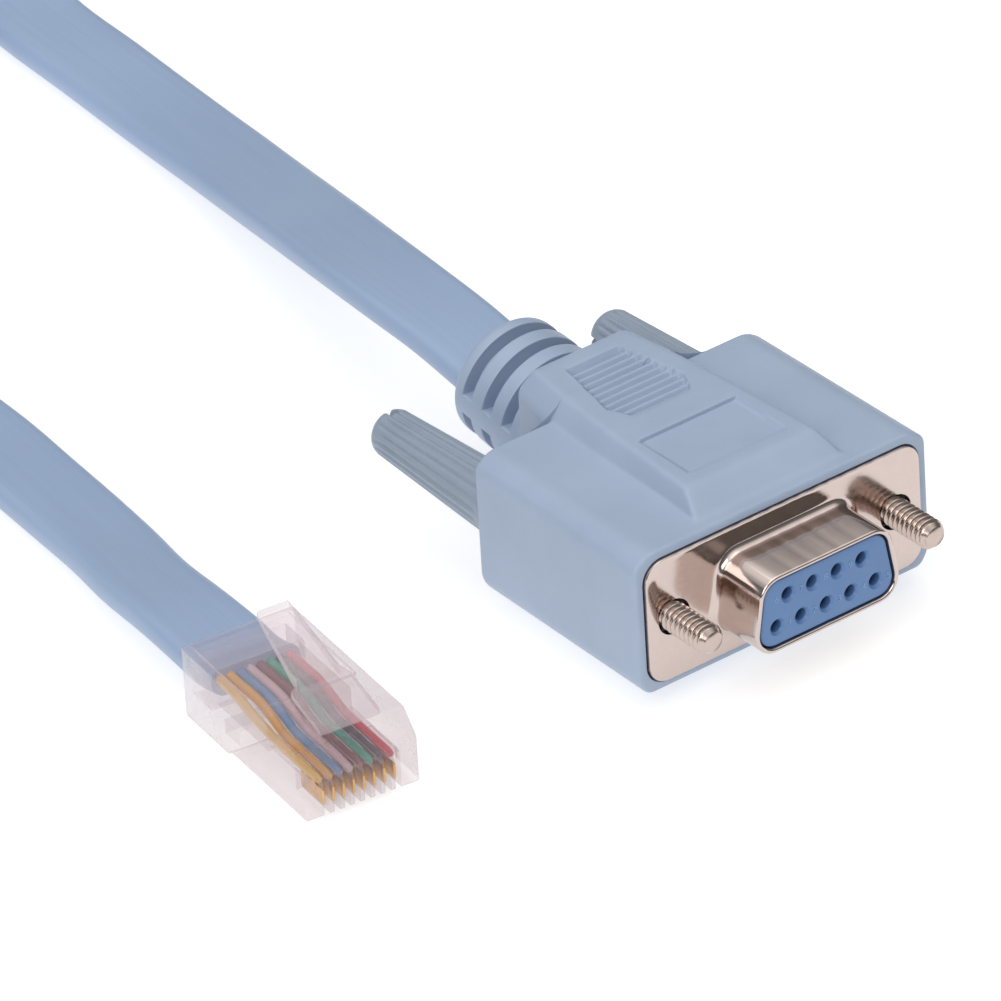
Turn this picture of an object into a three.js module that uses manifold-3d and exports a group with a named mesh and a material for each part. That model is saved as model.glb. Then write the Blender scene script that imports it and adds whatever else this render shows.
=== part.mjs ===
// A console cable: a nine-way D connector in a moulded hood with two thumbscrews, a flat cable,
// and an eight-way modular plug. Millimetres, +Z up, the connector's mating face towards -Y.
// The origin is the middle of the connector's underside, on the surface that it lies on.
import * as THREE from 'three';
import { mergeVertices } from 'three/addons/utils/BufferGeometryUtils.js';
import Module from 'manifold-3d';

const wasm = await Module();
wasm.setup();

// Fits
const CLEARANCE = 0.3; // between two pieces that touch or slide
const RIM_STEP = 0.3; // how far the hood's rim stands behind the flange's face

// Driving dimensions of the connector. Its own frame has its origin in the middle of the flange's
// front face, with y running back into the hood.
const FLANGE = { width: 30.8, height: 12.5, corner: 2.0, thickness: 0.8, hole: 1.75 };
const SHELL = { reach: 5.9, wide: 8.45, narrow: 7.15, halfHeight: 3.85, corner: 2.2, wall: 0.45 };
const INSULATOR = { sink: 0.2, backWidth: 18.8, backHeight: 9.4, backDepth: 3.5 };
const CONTACTS = { pitch: 2.77, rowSpacing: 2.84, lower: 5, upper: 4 };
const SOCKET = { radius: 0.7, bore: 0.5, neck: 0.62, neckLength: 0.7, leadIn: 1.05, leadDepth: 0.45 };
const SOCKET_SHAPE = { depth: 6.0, backGap: 0.2 };
const SCREW = { spacing: 24.99, radius: 1.42, root: 1.06, pitch: 0.635, reach: 5.56, thread: 7.5 };
const SCREW_TIP = { radius: 0.8, length: 0.5 };
const SHANK = { radius: 1.3, grip: 6.0 };
const KNOB = { end: 41.6, radius: 3.1, tipRadius: 2.35, round: 1.4, slotWidth: 1.0, slotDepth: 1.6 };

// Driving dimensions of the hood. Its block is wider at the front, its spine at the middle.
const BLOCK = { back: 23.5, frontHalf: 16.5, backHalf: 15.9, halfHeight: 7.15, edge: 0.6 };
const BLOCK_BEVEL = { topX: 1.6, topZ: 1.1, lowX: 1.0, lowZ: 1.4 };
const SPINE = { halfHeight: 9.0, foot: 6.9, frontTop: 4.4, frontFoot: 1.4, back: 30.0 };
const SPINE_TOP = { front: 7.3, middle: 6.5, waist: 5.9, back: 4.9 };
const SPINE_FOOT = { front: 8.5, middle: 8.1, waist: 7.7, back: 6.2 };
const RELIEF = { length: 10.77, sink: 2.5, root: 6.2, end: 5.9, rise: 6.4, edge: 0.5 };
const SLOTS = { count: 3, first: 1.5, width: 1.3, pitch: 2.9, depth: 1.5, web: 10 };
const GRIP = { back: 26.8, waist: 19.2, front: 17.0, backHalf: 2.9, waistHalf: 4.3, frontHalf: 3.3 };
const GRIP_RIBS = { count: 10, groove: 0.5, depth: 0.45 };
const PANEL = { half: 5.4, back: 13.2, front: 6.2, depth: 0.18 };

// Driving dimensions of the flat cable and its coil
const CABLE = { width: 9.0, thickness: 2.5 };
const COIL = { x: -34.0, y: 154.15, inner: 38.4, outer: 49.6, layers: 2, layerPitch: 9.3, lift: 1.2 };
const TIE = { width: 5.0, thickness: 0.8, angles: [140, 320] };

// Driving dimensions of the plug. Its own frame has its origin in the middle of its nose's foot.
const PLUG = { x: -43.0, y: -12.25, turn: -7.2, width: 11.4, length: 21.5, height: 7.3 };
const NOSE = { foot: 0.5, length: 13.4, bevel: 2.0, bevelHeight: 2.05 };
const BLADE_SLOT = { count: 8, pitch: 1.02, width: 0.62, depth: 5.0, top: 4.3 };
const BLADE = { thickness: 0.22, front: 0.6, back: 4.4, low: 1.2, high: 2.8 };
const JACKET = { depth: 3.7, height: 3.5 };
const WIRE = { radius: 0.36, front: 4.9, chamberFront: 4.4 };
const LATCH = { root: 1.5, step: 6.5, tip: 14.6, webHalf: 3.0, armHalf: 2.1, tipHalf: 1.6 };
const LATCH_HEIGHT = { web: 0.8, webRise: 1.2, arm: 1.6, tip: 5.9, tipThickness: 0.9 };

const SEGMENTS = 24; // sides of a turned piece

// The connector's place: centred along y between its shell's lip and its knobs' ends
const MIDDLE_Y = (KNOB.end - SHELL.reach) / 2;
const RISE = THREE.MathUtils.degToRad(RELIEF.rise);

/** A MeshStandardMaterial from a colour, a roughness and a metalness. */
function finish(color, roughness, metalness = 0) {
  return new THREE.MeshStandardMaterial({ color, roughness, metalness });
}

const FINISH = {
  hood: finish(0xa2b1cb, 0.6),
  cable: finish(0x93a8c6, 0.5),
  insulator: finish(0x5880b7, 0.4),
  nickel: finish(0xd5c1b8, 0.3, 1),
  brass: finish(0xc8a24a, 0.3, 1),
  clear: finish(0xe9dfe2, 0.1),
  tie: finish(0x2a2c30, 0.6),
};
const WIRE_COLOURS = [0xd9b14a, 0xd8973c, 0x4f86b5, 0xc9b3b6, 0x7c4a4e, 0x2f9d86, 0x3b3b42, 0xc8434f];

/** Turn a closed three.js geometry into a solid that can be joined and cut. */
function solid(geometry) {
  const bare = geometry.clone();
  bare.deleteAttribute('normal');
  bare.deleteAttribute('uv');
  const merged = mergeVertices(bare, 1e-4);
  return new wasm.Manifold(new wasm.Mesh({
    numProp: 3,
    vertProperties: new Float32Array(merged.attributes.position.array),
    triVerts: new Uint32Array(merged.index.array),
  }));
}

/** Turn a solid back into a three.js geometry. */
function geometryOf(body) {
  const mesh = body.getMesh();
  const geometry = new THREE.BufferGeometry();
  geometry.setAttribute('position', new THREE.BufferAttribute(new Float32Array(mesh.vertProperties), 3));
  geometry.setIndex(Array.from(mesh.triVerts));
  geometry.computeVertexNormals();
  return geometry;
}

/** Join the solids of several geometries, then cut others out of them. */
function carve(joined, cutters = []) {
  let body = solid(joined[0]);
  for (const geometry of joined.slice(1)) body = body.add(solid(geometry));
  for (const geometry of cutters) body = body.subtract(solid(geometry));
  return geometryOf(body);
}

/** A named mesh. */
function piece(name, geometry, material) {
  const mesh = new THREE.Mesh(geometry, material);
  mesh.name = name;
  return mesh;
}

/** A box between two corners. */
function box(x0, x1, y0, y1, z0, z1) {
  const geometry = new THREE.BoxGeometry(x1 - x0, y1 - y0, z1 - z0);
  return geometry.translate((x0 + x1) / 2, (y0 + y1) / 2, (z0 + z1) / 2);
}

/** A shape drawn in x and z, pushed along y from one place to another. */
function alongY(shape, y0, y1, curveSegments = 5) {
  const geometry = new THREE.ExtrudeGeometry(shape, { depth: y1 - y0, bevelEnabled: false, curveSegments });
  return geometry.rotateX(Math.PI / 2).translate(0, y1, 0);
}

/** A profile of [radius, y] turned about the y axis. */
function turned(profile, segments = SEGMENTS) {
  const points = profile.map(([radius, y]) => new THREE.Vector2(radius, y));
  return new THREE.LatheGeometry(points, segments);
}

/** A closed surface through rings of as many points each, with a flat cap at both ends. */
function skin(rings) {
  const count = rings[0].length;
  const positions = rings.flat().flatMap((p) => [p.x, p.y, p.z]);
  const index = [];
  for (let r = 0; r + 1 < rings.length; r++) {
    for (let i = 0; i < count; i++) {
      const a = r * count + i;
      const b = r * count + (i + 1) % count;
      index.push(a, b, b + count, a, b + count, a + count);
    }
  }
  for (const last of [false, true]) {
    const ring = last ? rings[rings.length - 1] : rings[0];
    const start = last ? (rings.length - 1) * count : 0;
    const middle = ring.reduce((sum, p) => sum.add(p), new THREE.Vector3()).divideScalar(count);
    const centre = positions.length / 3;
    positions.push(middle.x, middle.y, middle.z);
    for (let i = 0; i < count; i++) {
      const a = start + i;
      const b = start + (i + 1) % count;
      index.push(...(last ? [a, b, centre] : [b, a, centre]));
    }
  }
  const geometry = new THREE.BufferGeometry();
  geometry.setAttribute('position', new THREE.Float32BufferAttribute(positions, 3));
  geometry.setIndex(index);
  return geometry;
}

/** A rectangle with round corners, drawn about the middle. */
function roundedRectangle(width, height, corner) {
  const x = width / 2;
  const y = height / 2;
  const shape = new THREE.Shape();
  shape.moveTo(-x + corner, -y);
  shape.lineTo(x - corner, -y);
  shape.absarc(x - corner, -y + corner, corner, -Math.PI / 2, 0);
  shape.lineTo(x, y - corner);
  shape.absarc(x - corner, y - corner, corner, 0, Math.PI / 2);
  shape.lineTo(-x + corner, y);
  shape.absarc(-x + corner, y - corner, corner, Math.PI / 2, Math.PI);
  shape.lineTo(-x, -y + corner);
  shape.absarc(-x + corner, -y + corner, corner, Math.PI, Math.PI * 1.5);
  return shape;
}

/** The D outline: wide row below, narrow row above, drawn this far inside the shell's outside. */
function dOutline(inset) {
  const high = SHELL.halfHeight - inset;
  const slope = (SHELL.wide - SHELL.narrow) / (2 * SHELL.halfHeight);
  const side = inset * Math.hypot(1, slope);
  const middle = (SHELL.wide + SHELL.narrow) / 2 - side;
  const corner = SHELL.corner - inset;
  const ends = [[middle + slope * high, -high], [middle - slope * high, high]];
  const corners = [ends[0], ends[1], [-ends[1][0], high], [-ends[0][0], -high]];
  const points = [];
  corners.forEach((here, i) => {
    const at = new THREE.Vector2(...here);
    const back = new THREE.Vector2(...corners[(i + 3) % 4]).sub(at).normalize();
    const on = new THREE.Vector2(...corners[(i + 1) % 4]).sub(at).normalize();
    const half = back.angleTo(on) / 2;
    const centre = back.clone().add(on).normalize().multiplyScalar(corner / Math.sin(half)).add(at);
    const from = back.multiplyScalar(corner / Math.tan(half)).add(at).sub(centre).angle();
    const sweep = Math.PI - 2 * half;
    for (let k = 0; k <= 5; k++) {
      const angle = from + (sweep * k) / 5;
      points.push(new THREE.Vector2(centre.x + corner * Math.cos(angle), centre.y + corner * Math.sin(angle)));
    }
  });
  return new THREE.Shape(points);
}

/** The nine contacts' places in x and z, in the order of their numbers as seen from the front. */
function contactPlaces() {
  const places = [];
  for (const [count, z] of [[CONTACTS.lower, -1], [CONTACTS.upper, 1]]) {
    for (let i = 0; i < count; i++) {
      places.push([(i - (count - 1) / 2) * CONTACTS.pitch, (z * CONTACTS.rowSpacing) / 2]);
    }
  }
  return places;
}

/** The hood's block: rings of its bevelled section, with small rounded edges at both ends. */
function blockGeometry() {
  const front = RIM_STEP;
  const ring = (y, half, inset) => {
    const x = half - inset;
    const high = BLOCK.halfHeight - inset;
    const { topX, topZ, lowX, lowZ } = BLOCK_BEVEL;
    return [[x, -high + lowZ], [x, high - topZ], [x - topX, high], [-x + topX, high],
      [-x, high - topZ], [-x, -high + lowZ], [-x + lowX, -high], [x - lowX, -high]]
      .map(([px, pz]) => new THREE.Vector3(px, y, pz)).reverse();
  };
  return skin([
    ring(front, BLOCK.frontHalf, BLOCK.edge),
    ring(front + BLOCK.edge, BLOCK.frontHalf, 0),
    ring(BLOCK.back - BLOCK.edge, BLOCK.backHalf, 0),
    ring(BLOCK.back, BLOCK.backHalf, BLOCK.edge),
  ]);
}

/** The spine: a bottle outline in x and y at each height, the same above and below. */
function spineGeometry() {
  const outline = (front, half) => {
    const curve = new THREE.CatmullRomCurve3([
      new THREE.Vector3(half.front, front, 0),
      new THREE.Vector3(half.middle, GRIP.front, 0),
      new THREE.Vector3(half.waist, BLOCK.back - CLEARANCE, 0),
      new THREE.Vector3(half.back, SPINE.back, 0),
    ]);
    const right = curve.getPoints(9);
    const left = right.map((p) => new THREE.Vector3(-p.x, p.y, 0)).reverse();
    return [...right, ...left];
  };
  const at = (points, z) => points.map((p) => new THREE.Vector3(p.x, p.y, z));
  const top = outline(SPINE.frontTop, SPINE_TOP);
  const foot = outline(SPINE.frontFoot, SPINE_FOOT);
  return skin([
    at(top, -SPINE.halfHeight), at(foot, -SPINE.foot), at(foot, SPINE.foot), at(top, SPINE.halfHeight),
  ]);
}

/** Place what is made along +y from zero at the strain relief's root, with its rise. */
function onRelief(geometry) {
  return geometry.rotateX(RISE).translate(0, SPINE.back - CLEARANCE, 0);
}

/** The strain relief's barrel, largest where it joins the hood. */
function reliefGeometry() {
  const { sink, root, end, length, edge } = RELIEF;
  return onRelief(turned([
    [0, -sink], [root - edge, -sink], [root, 0], [end, length - edge], [end - edge, length], [0, length],
  ]));
}

/** Half rings that cut the barrel's slots, above and below, with a web left at each side. */
function reliefSlots() {
  const web = THREE.MathUtils.degToRad(SLOTS.web);
  const cutters = [];
  for (let i = 0; i < SLOTS.count; i++) {
    const y = RELIEF.length - SLOTS.first - i * SLOTS.pitch;
    for (const start of [web, Math.PI + web]) {
      const stop = start + Math.PI - 2 * web;
      const shape = new THREE.Shape();
      shape.absarc(0, 0, RELIEF.root + 1, start, stop, false);
      shape.absarc(0, 0, RELIEF.end - SLOTS.depth, stop, start, true);
      cutters.push(onRelief(alongY(shape, y - SLOTS.width, y, 8)));
    }
  }
  return cutters;
}

/** The grooves of the grip and the blank panel, on the spine's top and underside. */
function gripCutters() {
  const cutters = [];
  const step = (GRIP.back - GRIP.front) / GRIP_RIBS.count;
  const halfAt = (y) => (y > GRIP.waist
    ? THREE.MathUtils.mapLinear(y, GRIP.waist, GRIP.back, GRIP.waistHalf, GRIP.backHalf)
    : THREE.MathUtils.mapLinear(y, GRIP.front, GRIP.waist, GRIP.frontHalf, GRIP.waistHalf));
  for (const side of [-1, 1]) {
    const span = (depth) => [side * (SPINE.halfHeight - depth), side * (SPINE.halfHeight + 1)].sort((a, b) => a - b);
    for (let i = 0; i < GRIP_RIBS.count; i++) {
      const y = GRIP.front + step * (i + 0.5);
      const half = halfAt(y);
      cutters.push(box(-half, half, y - GRIP_RIBS.groove / 2, y + GRIP_RIBS.groove / 2, ...span(GRIP_RIBS.depth)));
    }
    cutters.push(box(-PANEL.half, PANEL.half, PANEL.front, PANEL.back, ...span(PANEL.depth)));
  }
  return cutters;
}

/** A round bore along y at a screw's place. */
function boreAt(x, radius, y0, y1) {
  const bore = new THREE.CylinderGeometry(radius, radius, y1 - y0, SEGMENTS);
  return bore.translate(x, (y0 + y1) / 2, 0);
}

const SCREW_X = SCREW.spacing / 2;
const FLANGE_SEAT = FLANGE.thickness + CLEARANCE;
const INSULATOR_END = FLANGE_SEAT + INSULATOR.backDepth;
const PAST = 1; // how far a cutter runs past the face that it cuts

/** The overmoulded hood: block, spine, neck and strain relief in one. */
function hood() {
  const pocket = roundedRectangle(FLANGE.width + 2 * CLEARANCE, FLANGE.height + 2 * CLEARANCE,
    FLANGE.corner + CLEARANCE);
  const cavity = roundedRectangle(INSULATOR.backWidth + 2 * CLEARANCE, INSULATOR.backHeight + 2 * CLEARANCE,
    CLEARANCE);
  const bore = SCREW.radius + CLEARANCE;
  return carve([blockGeometry(), spineGeometry(), reliefGeometry()], [
    alongY(pocket, RIM_STEP - PAST, FLANGE_SEAT),
    alongY(cavity, FLANGE_SEAT - PAST, INSULATOR_END + CLEARANCE),
    boreAt(-SCREW_X, bore, 0, BLOCK.back + PAST),
    boreAt(SCREW_X, bore, 0, BLOCK.back + PAST),
    ...reliefSlots(),
    ...gripCutters(),
  ]);
}

/** The flange with its drawn D shell and its two screw holes. */
function frontShell() {
  const plate = roundedRectangle(FLANGE.width, FLANGE.height, FLANGE.corner);
  return carve([alongY(plate, 0, FLANGE.thickness), alongY(dOutline(0), -SHELL.reach, FLANGE.thickness / 2)], [
    alongY(dOutline(SHELL.wall), -SHELL.reach - PAST, FLANGE.thickness + PAST),
    boreAt(-SCREW_X, FLANGE.hole, -PAST, FLANGE.thickness + PAST),
    boreAt(SCREW_X, FLANGE.hole, -PAST, FLANGE.thickness + PAST),
  ]);
}

const INSULATOR_FACE = -SHELL.reach + INSULATOR.sink;
const BORE_START = INSULATOR_FACE + SOCKET.leadDepth + SOCKET.neckLength;

/** The insulator: a D nose in the shell and a wider back behind the flange, with nine holes. */
function insulator() {
  const back = roundedRectangle(INSULATOR.backWidth, INSULATOR.backHeight, CLEARANCE);
  const hole = turned([
    [0, INSULATOR_FACE - PAST],
    [SOCKET.leadIn + (SOCKET.leadIn - SOCKET.neck) * (PAST / SOCKET.leadDepth), INSULATOR_FACE - PAST],
    [SOCKET.neck, INSULATOR_FACE + SOCKET.leadDepth],
    [SOCKET.neck, BORE_START],
    [SOCKET.radius + CLEARANCE, BORE_START],
    [SOCKET.radius + CLEARANCE, INSULATOR_END + PAST],
    [0, INSULATOR_END + PAST],
  ], 12);
  const holes = contactPlaces().map(([x, z]) => hole.clone().translate(x, 0, z));
  return carve([
    alongY(dOutline(SHELL.wall + CLEARANCE), INSULATOR_FACE, FLANGE_SEAT + CLEARANCE),
    alongY(back, FLANGE_SEAT, INSULATOR_END),
  ], holes);
}

/** One socket contact: a sleeve that is open to the front. */
function socketContact() {
  const front = BORE_START + CLEARANCE;
  const back = INSULATOR_END - SOCKET_SHAPE.backGap;
  return turned([
    [0, front + SOCKET_SHAPE.depth], [SOCKET.bore, front + SOCKET_SHAPE.depth], [SOCKET.bore, front],
    [SOCKET.radius, front], [SOCKET.radius, back], [0, back],
  ], 12);
}

/** The jackscrew: ring threads, a shank through the hood, and an end that the knob holds. */
function jackscrew() {
  const profile = [[0, -SCREW.reach], [SCREW_TIP.radius, -SCREW.reach]];
  const start = -SCREW.reach + SCREW_TIP.length;
  for (let i = 0; i * SCREW.pitch < SCREW.thread; i++) {
    const y = start + i * SCREW.pitch;
    profile.push([SCREW.root, y], [SCREW.radius, y + SCREW.pitch / 2]);
  }
  profile.push([SHANK.radius, start + SCREW.thread + SCREW.pitch]);
  profile.push([SHANK.radius, BLOCK.back + SHANK.grip], [0, BLOCK.back + SHANK.grip]);
  return turned(profile, 12);
}

/** The knob: tapered, round at its end, with a driver slot and a bore for its screw. */
function knob() {
  const start = BLOCK.back + CLEARANCE;
  const { end, radius, tipRadius, round, slotWidth, slotDepth } = KNOB;
  const profile = [[0, start], [radius, start], [tipRadius, end - round]];
  for (const turn of [30, 60]) {
    const angle = THREE.MathUtils.degToRad(turn);
    profile.push([tipRadius - round * (1 - Math.cos(angle)), end - round * (1 - Math.sin(angle))]);
  }
  profile.push([tipRadius - round, end], [0, end]);
  return carve([turned(profile)], [
    boreAt(0, SHANK.radius + CLEARANCE, start - PAST, BLOCK.back + SHANK.grip + CLEARANCE),
    box(-slotWidth / 2, slotWidth / 2, end - slotDepth, end + PAST, -2 * radius, 2 * radius),
  ]);
}

/** A route for flat cable: at each point the cable's width is rolled about the way it runs. */
class FlatRoute extends THREE.CatmullRomCurve3 {
  constructor(stations) {
    super(stations.map(([x, y, z]) => new THREE.Vector3(x, y, z)), false, 'centripetal');
    this.rolls = stations.map((station) => THREE.MathUtils.degToRad(station[3]));
  }

  computeFrenetFrames(steps) {
    const tangents = [];
    const normals = [];
    const binormals = [];
    for (let i = 0; i <= steps; i++) {
      const tangent = this.getTangentAt(i / steps);
      const side = new THREE.Vector3().crossVectors(tangent, new THREE.Vector3(0, 0, 1)).normalize();
      const up = new THREE.Vector3().crossVectors(side, tangent);
      const place = this.getUtoTmapping(i / steps) * (this.rolls.length - 1);
      const before = Math.min(Math.floor(place), this.rolls.length - 2);
      const roll = THREE.MathUtils.lerp(this.rolls[before], this.rolls[before + 1], place - before);
      const normal = side.multiplyScalar(Math.cos(roll)).addScaledVector(up, Math.sin(roll));
      tangents.push(tangent);
      normals.push(normal);
      binormals.push(new THREE.Vector3().crossVectors(tangent, normal));
    }
    return { tangents, normals, binormals };
  }
}

/** The flat cable's section, its width along x, with its round edges as single flats. */
function cableSection() {
  const x = CABLE.width / 2;
  const y = CABLE.thickness / 2;
  const cut = CABLE.thickness * 0.3;
  return new THREE.Shape([[x, -y + cut], [x, y - cut], [x - cut, y], [-x + cut, y],
    [-x, y - cut], [-x, -y + cut], [-x + cut, -y], [x - cut, -y]].map(([px, py]) => new THREE.Vector2(px, py)));
}

/** A stretch of cable along a route of [x, y, z, roll in degrees]. */
function cableStretch(stations, steps) {
  return new THREE.ExtrudeGeometry(cableSection(), {
    steps, bevelEnabled: false, extrudePath: new FlatRoute(stations),
  });
}

// From the strain relief, over a low hump, down to the surface and on to the coil
const RELIEF_EXIT = new THREE.Vector3(0, RELIEF.length + CLEARANCE, 0)
  .applyAxisAngle(new THREE.Vector3(1, 0, 0), RISE)
  .add(new THREE.Vector3(0, SPINE.back - CLEARANCE - MIDDLE_Y, SPINE.halfHeight));
const ROUTE_FROM_HOOD = [
  [...RELIEF_EXIT.toArray(), 0],
  [0.2, 30.1, 11.0, 1],
  [0.6, 38.1, 11.1, 3],
  [1.8, 46.1, 10.3, 4.5],
  [3.7, 54.1, 8.7, 6],
  [5.9, 62.1, 6.7, 6.5],
  [8.0, 70.1, 4.8, 6.5],
  [9.8, 78.1, 3.3, 6.5],
  [11.1, 86.1, 2.3, 6.5],
  [12.0, 94.1, 1.85, 6.5],
  [12.6, 102.1, 1.8, 6.5],
  [13.2, 112.1, 1.9, 7],
  [14.2, 120.1, 2.5, 17],
  [15.3, 129.1, 3.9, 42],
  [16.2, 138.1, 5.0, 68],
  [16.9, 147.1, 5.6, 85],
  [17.2, 154.1, 5.7, 90],
];
// From the coil's upper layer, down to the surface and into the plug
const ROUTE_TO_PLUG = [
  [-63.4, 112.2, 15.0, 90],
  [-53.7, 106.1, 13.9, 86],
  [-46.5, 99.1, 11.4, 75],
  [-40.9, 91.1, 8.3, 58],
  [-36.8, 82.1, 5.3, 38],
  [-34.2, 73.1, 3.1, 18],
  [-33.5, 64.1, 1.7, 5],
  [-33.7, 56.1, 1.3, 0],
  [-34.6, 48.1, 1.3, 0],
  [-35.6, 40.1, 1.3, 0],
  [-36.8, 33.1, 1.6, 0],
  [-38.4, 26.1, 2.3, 0],
  [-39.4, 19.1, 3.1, 0],
];

/** A point on the plug's own middle line, in the part's frame. */
function onPlug(back, height) {
  const turn = THREE.MathUtils.degToRad(PLUG.turn);
  return [PLUG.x - back * Math.sin(turn), PLUG.y + back * Math.cos(turn), height];
}

/** The coil: one turned ring as high as its layers. */
function coil() {
  const low = COIL.lift;
  const high = low + CABLE.width + (COIL.layers - 1) * COIL.layerPitch + CLEARANCE;
  const ring = new THREE.LatheGeometry([[COIL.inner, low], [COIL.outer, low], [COIL.outer, high],
    [COIL.inner, high], [COIL.inner, low]].map(([r, z]) => new THREE.Vector2(r, z)), 40);
  return { geometry: ring.rotateX(Math.PI / 2).translate(COIL.x, COIL.y, 0), low, high };
}

/** A tie: a flat loop round the coil's section, drawn across x at the ring's middle radius. */
function coilTie(low, high) {
  const gap = CLEARANCE;
  const wide = COIL.outer - COIL.inner + 2 * gap;
  const tall = high - low + 2 * gap;
  const loop = roundedRectangle(wide + 2 * TIE.thickness, tall + 2 * TIE.thickness, TIE.thickness);
  loop.holes.push(roundedRectangle(wide, tall, gap));
  const geometry = alongY(loop, -TIE.width / 2, TIE.width / 2, 2);
  return geometry.translate((COIL.inner + COIL.outer) / 2, 0, (low + high) / 2);
}

/** The plug's body from the side, nose at zero, as [back, height]. */
function plugBody() {
  const { length, height, width } = PLUG;
  const side = new THREE.Shape([
    [0, NOSE.foot], [NOSE.length, NOSE.foot], [NOSE.length + NOSE.foot, 0], [length, 0], [length, height],
    [NOSE.bevel, height], [0, height - NOSE.bevelHeight],
  ].map(([y, z]) => new THREE.Vector2(y, z)));
  const body = new THREE.ExtrudeGeometry(side, { depth: width, bevelEnabled: false });
  body.rotateY(Math.PI / 2).rotateX(Math.PI / 2);
  body.computeBoundingBox();
  const at = body.boundingBox;
  body.translate(-(at.min.x + at.max.x) / 2, -at.min.y, -at.min.z);
  const jacketX = CABLE.width / 2 + CLEARANCE;
  const jacketZ = CABLE.thickness / 2 + CLEARANCE;
  const wiresX = ((BLADE_SLOT.count - 1) / 2) * BLADE_SLOT.pitch + WIRE.radius + CLEARANCE;
  const wiresZ = WIRE.radius + CLEARANCE;
  const jacketEnd = length - JACKET.depth - CLEARANCE;
  const slots = bladePlaces().map((x) => box(x - BLADE_SLOT.width / 2, x + BLADE_SLOT.width / 2,
    -PAST, BLADE_SLOT.depth, -PAST, BLADE_SLOT.top));
  return carve([body], [
    box(-jacketX, jacketX, jacketEnd, length + PAST, JACKET.height - jacketZ, JACKET.height + jacketZ),
    box(-wiresX, wiresX, WIRE.chamberFront, jacketEnd + PAST, JACKET.height - wiresZ, JACKET.height + wiresZ),
    ...slots,
  ]);
}

/** The eight blades' places across the plug. */
function bladePlaces() {
  return Array.from({ length: BLADE_SLOT.count }, (_, i) => (i - (BLADE_SLOT.count - 1) / 2) * BLADE_SLOT.pitch);
}

/** The latch: a wide thin web that flexes, and a raised arm that narrows to its tip. */
function plugLatch() {
  const top = PLUG.height + CLEARANCE;
  const { root, step, tip, webHalf, armHalf, tipHalf } = LATCH;
  const { web, webRise, arm, tip: tipRise, tipThickness } = LATCH_HEIGHT;
  const section = (y, half, low, high) => [[half, low], [half, high], [-half, high], [-half, low]]
    .map(([x, z]) => new THREE.Vector3(x, y, z)).reverse();
  const overlap = 0.4;
  const webPiece = skin([
    section(root, webHalf, top, top + web),
    section(step + overlap, webHalf, top + webRise, top + webRise + web),
  ]);
  const armPiece = skin([
    section(step, armHalf, top + webRise, top + webRise + arm),
    section(step + 1.5, armHalf, top + webRise + 0.5, top + webRise + arm + 0.3),
    section(tip, tipHalf, top + tipRise - CLEARANCE - tipThickness, top + tipRise - CLEARANCE),
  ]);
  return carve([webPiece, armPiece]);
}

/** Put a connector piece in the part's frame. */
const connector = new THREE.Group();
connector.position.set(0, -MIDDLE_Y, SPINE.halfHeight);
connector.add(piece('hood', hood(), FINISH.hood));
connector.add(piece('front_shell', frontShell(), FINISH.nickel));
connector.add(piece('insulator', insulator(), FINISH.insulator));
contactPlaces().forEach(([x, z], i) => {
  const contact = piece(`socket_contact_${i + 1}`, socketContact(), FINISH.brass);
  contact.position.set(x, 0, z);
  connector.add(contact);
});
for (const [side, x, slotTurn] of [['left', -SCREW_X, 0], ['right', SCREW_X, Math.PI / 2]]) {
  const screw = piece(`jackscrew_${side}`, jackscrew(), FINISH.nickel);
  const handle = piece(`knob_${side}`, knob(), FINISH.hood);
  screw.position.x = x;
  handle.position.x = x;
  handle.rotation.y = slotTurn;
  connector.add(screw, handle);
}

const cord = new THREE.Group();
const ring = coil();
cord.add(piece('cable_from_hood', cableStretch(ROUTE_FROM_HOOD, 32), FINISH.cable));
cord.add(piece('cable_coil', ring.geometry, FINISH.cable));
cord.add(piece('cable_to_plug', cableStretch([
  ...ROUTE_TO_PLUG,
  [...onPlug(PLUG.length + 4, JACKET.height), 0],
  [...onPlug(PLUG.length, JACKET.height), 0],
  [...onPlug(PLUG.length - JACKET.depth, JACKET.height), 0],
], 36), FINISH.cable));
TIE.angles.forEach((angle, i) => {
  const tie = piece(`coil_tie_${i + 1}`, coilTie(ring.low, ring.high), FINISH.tie);
  tie.position.set(COIL.x, COIL.y, 0);
  tie.rotation.z = THREE.MathUtils.degToRad(angle);
  cord.add(tie);
});

const plug = new THREE.Group();
plug.position.set(PLUG.x, PLUG.y, 0);
plug.rotation.z = THREE.MathUtils.degToRad(PLUG.turn);
plug.add(piece('plug_body', plugBody(), FINISH.clear));
plug.add(piece('plug_latch', plugLatch(), FINISH.clear));
bladePlaces().forEach((x, i) => {
  const blade = box(x - BLADE.thickness / 2, x + BLADE.thickness / 2, BLADE.front, BLADE.back, BLADE.low, BLADE.high);
  plug.add(piece(`plug_contact_${i + 1}`, blade, FINISH.brass));
  const wireEnd = PLUG.length - JACKET.depth - CLEARANCE;
  const wire = new THREE.CylinderGeometry(WIRE.radius, WIRE.radius, wireEnd - WIRE.front, 8);
  wire.translate(x, (wireEnd + WIRE.front) / 2, JACKET.height);
  plug.add(piece(`wire_${i + 1}`, wire, finish(WIRE_COLOURS[i], 0.5)));
});

const part = new THREE.Group();
part.add(connector, cord, plug);

export default part;
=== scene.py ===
# %% [markdown]
# A console cable in Blender: a nine-way D connector in a moulded hood, a flat cable with its coil,
# and a clear eight-way plug. The construction model comes in first as a fixed frame. It holds every
# piece at its real size and place, so this file only makes the finer surfaces and the finishes.

# %% Load the frame
import math

import bmesh
import bpy
import numpy as np
from mathutils import Matrix, Vector


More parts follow.
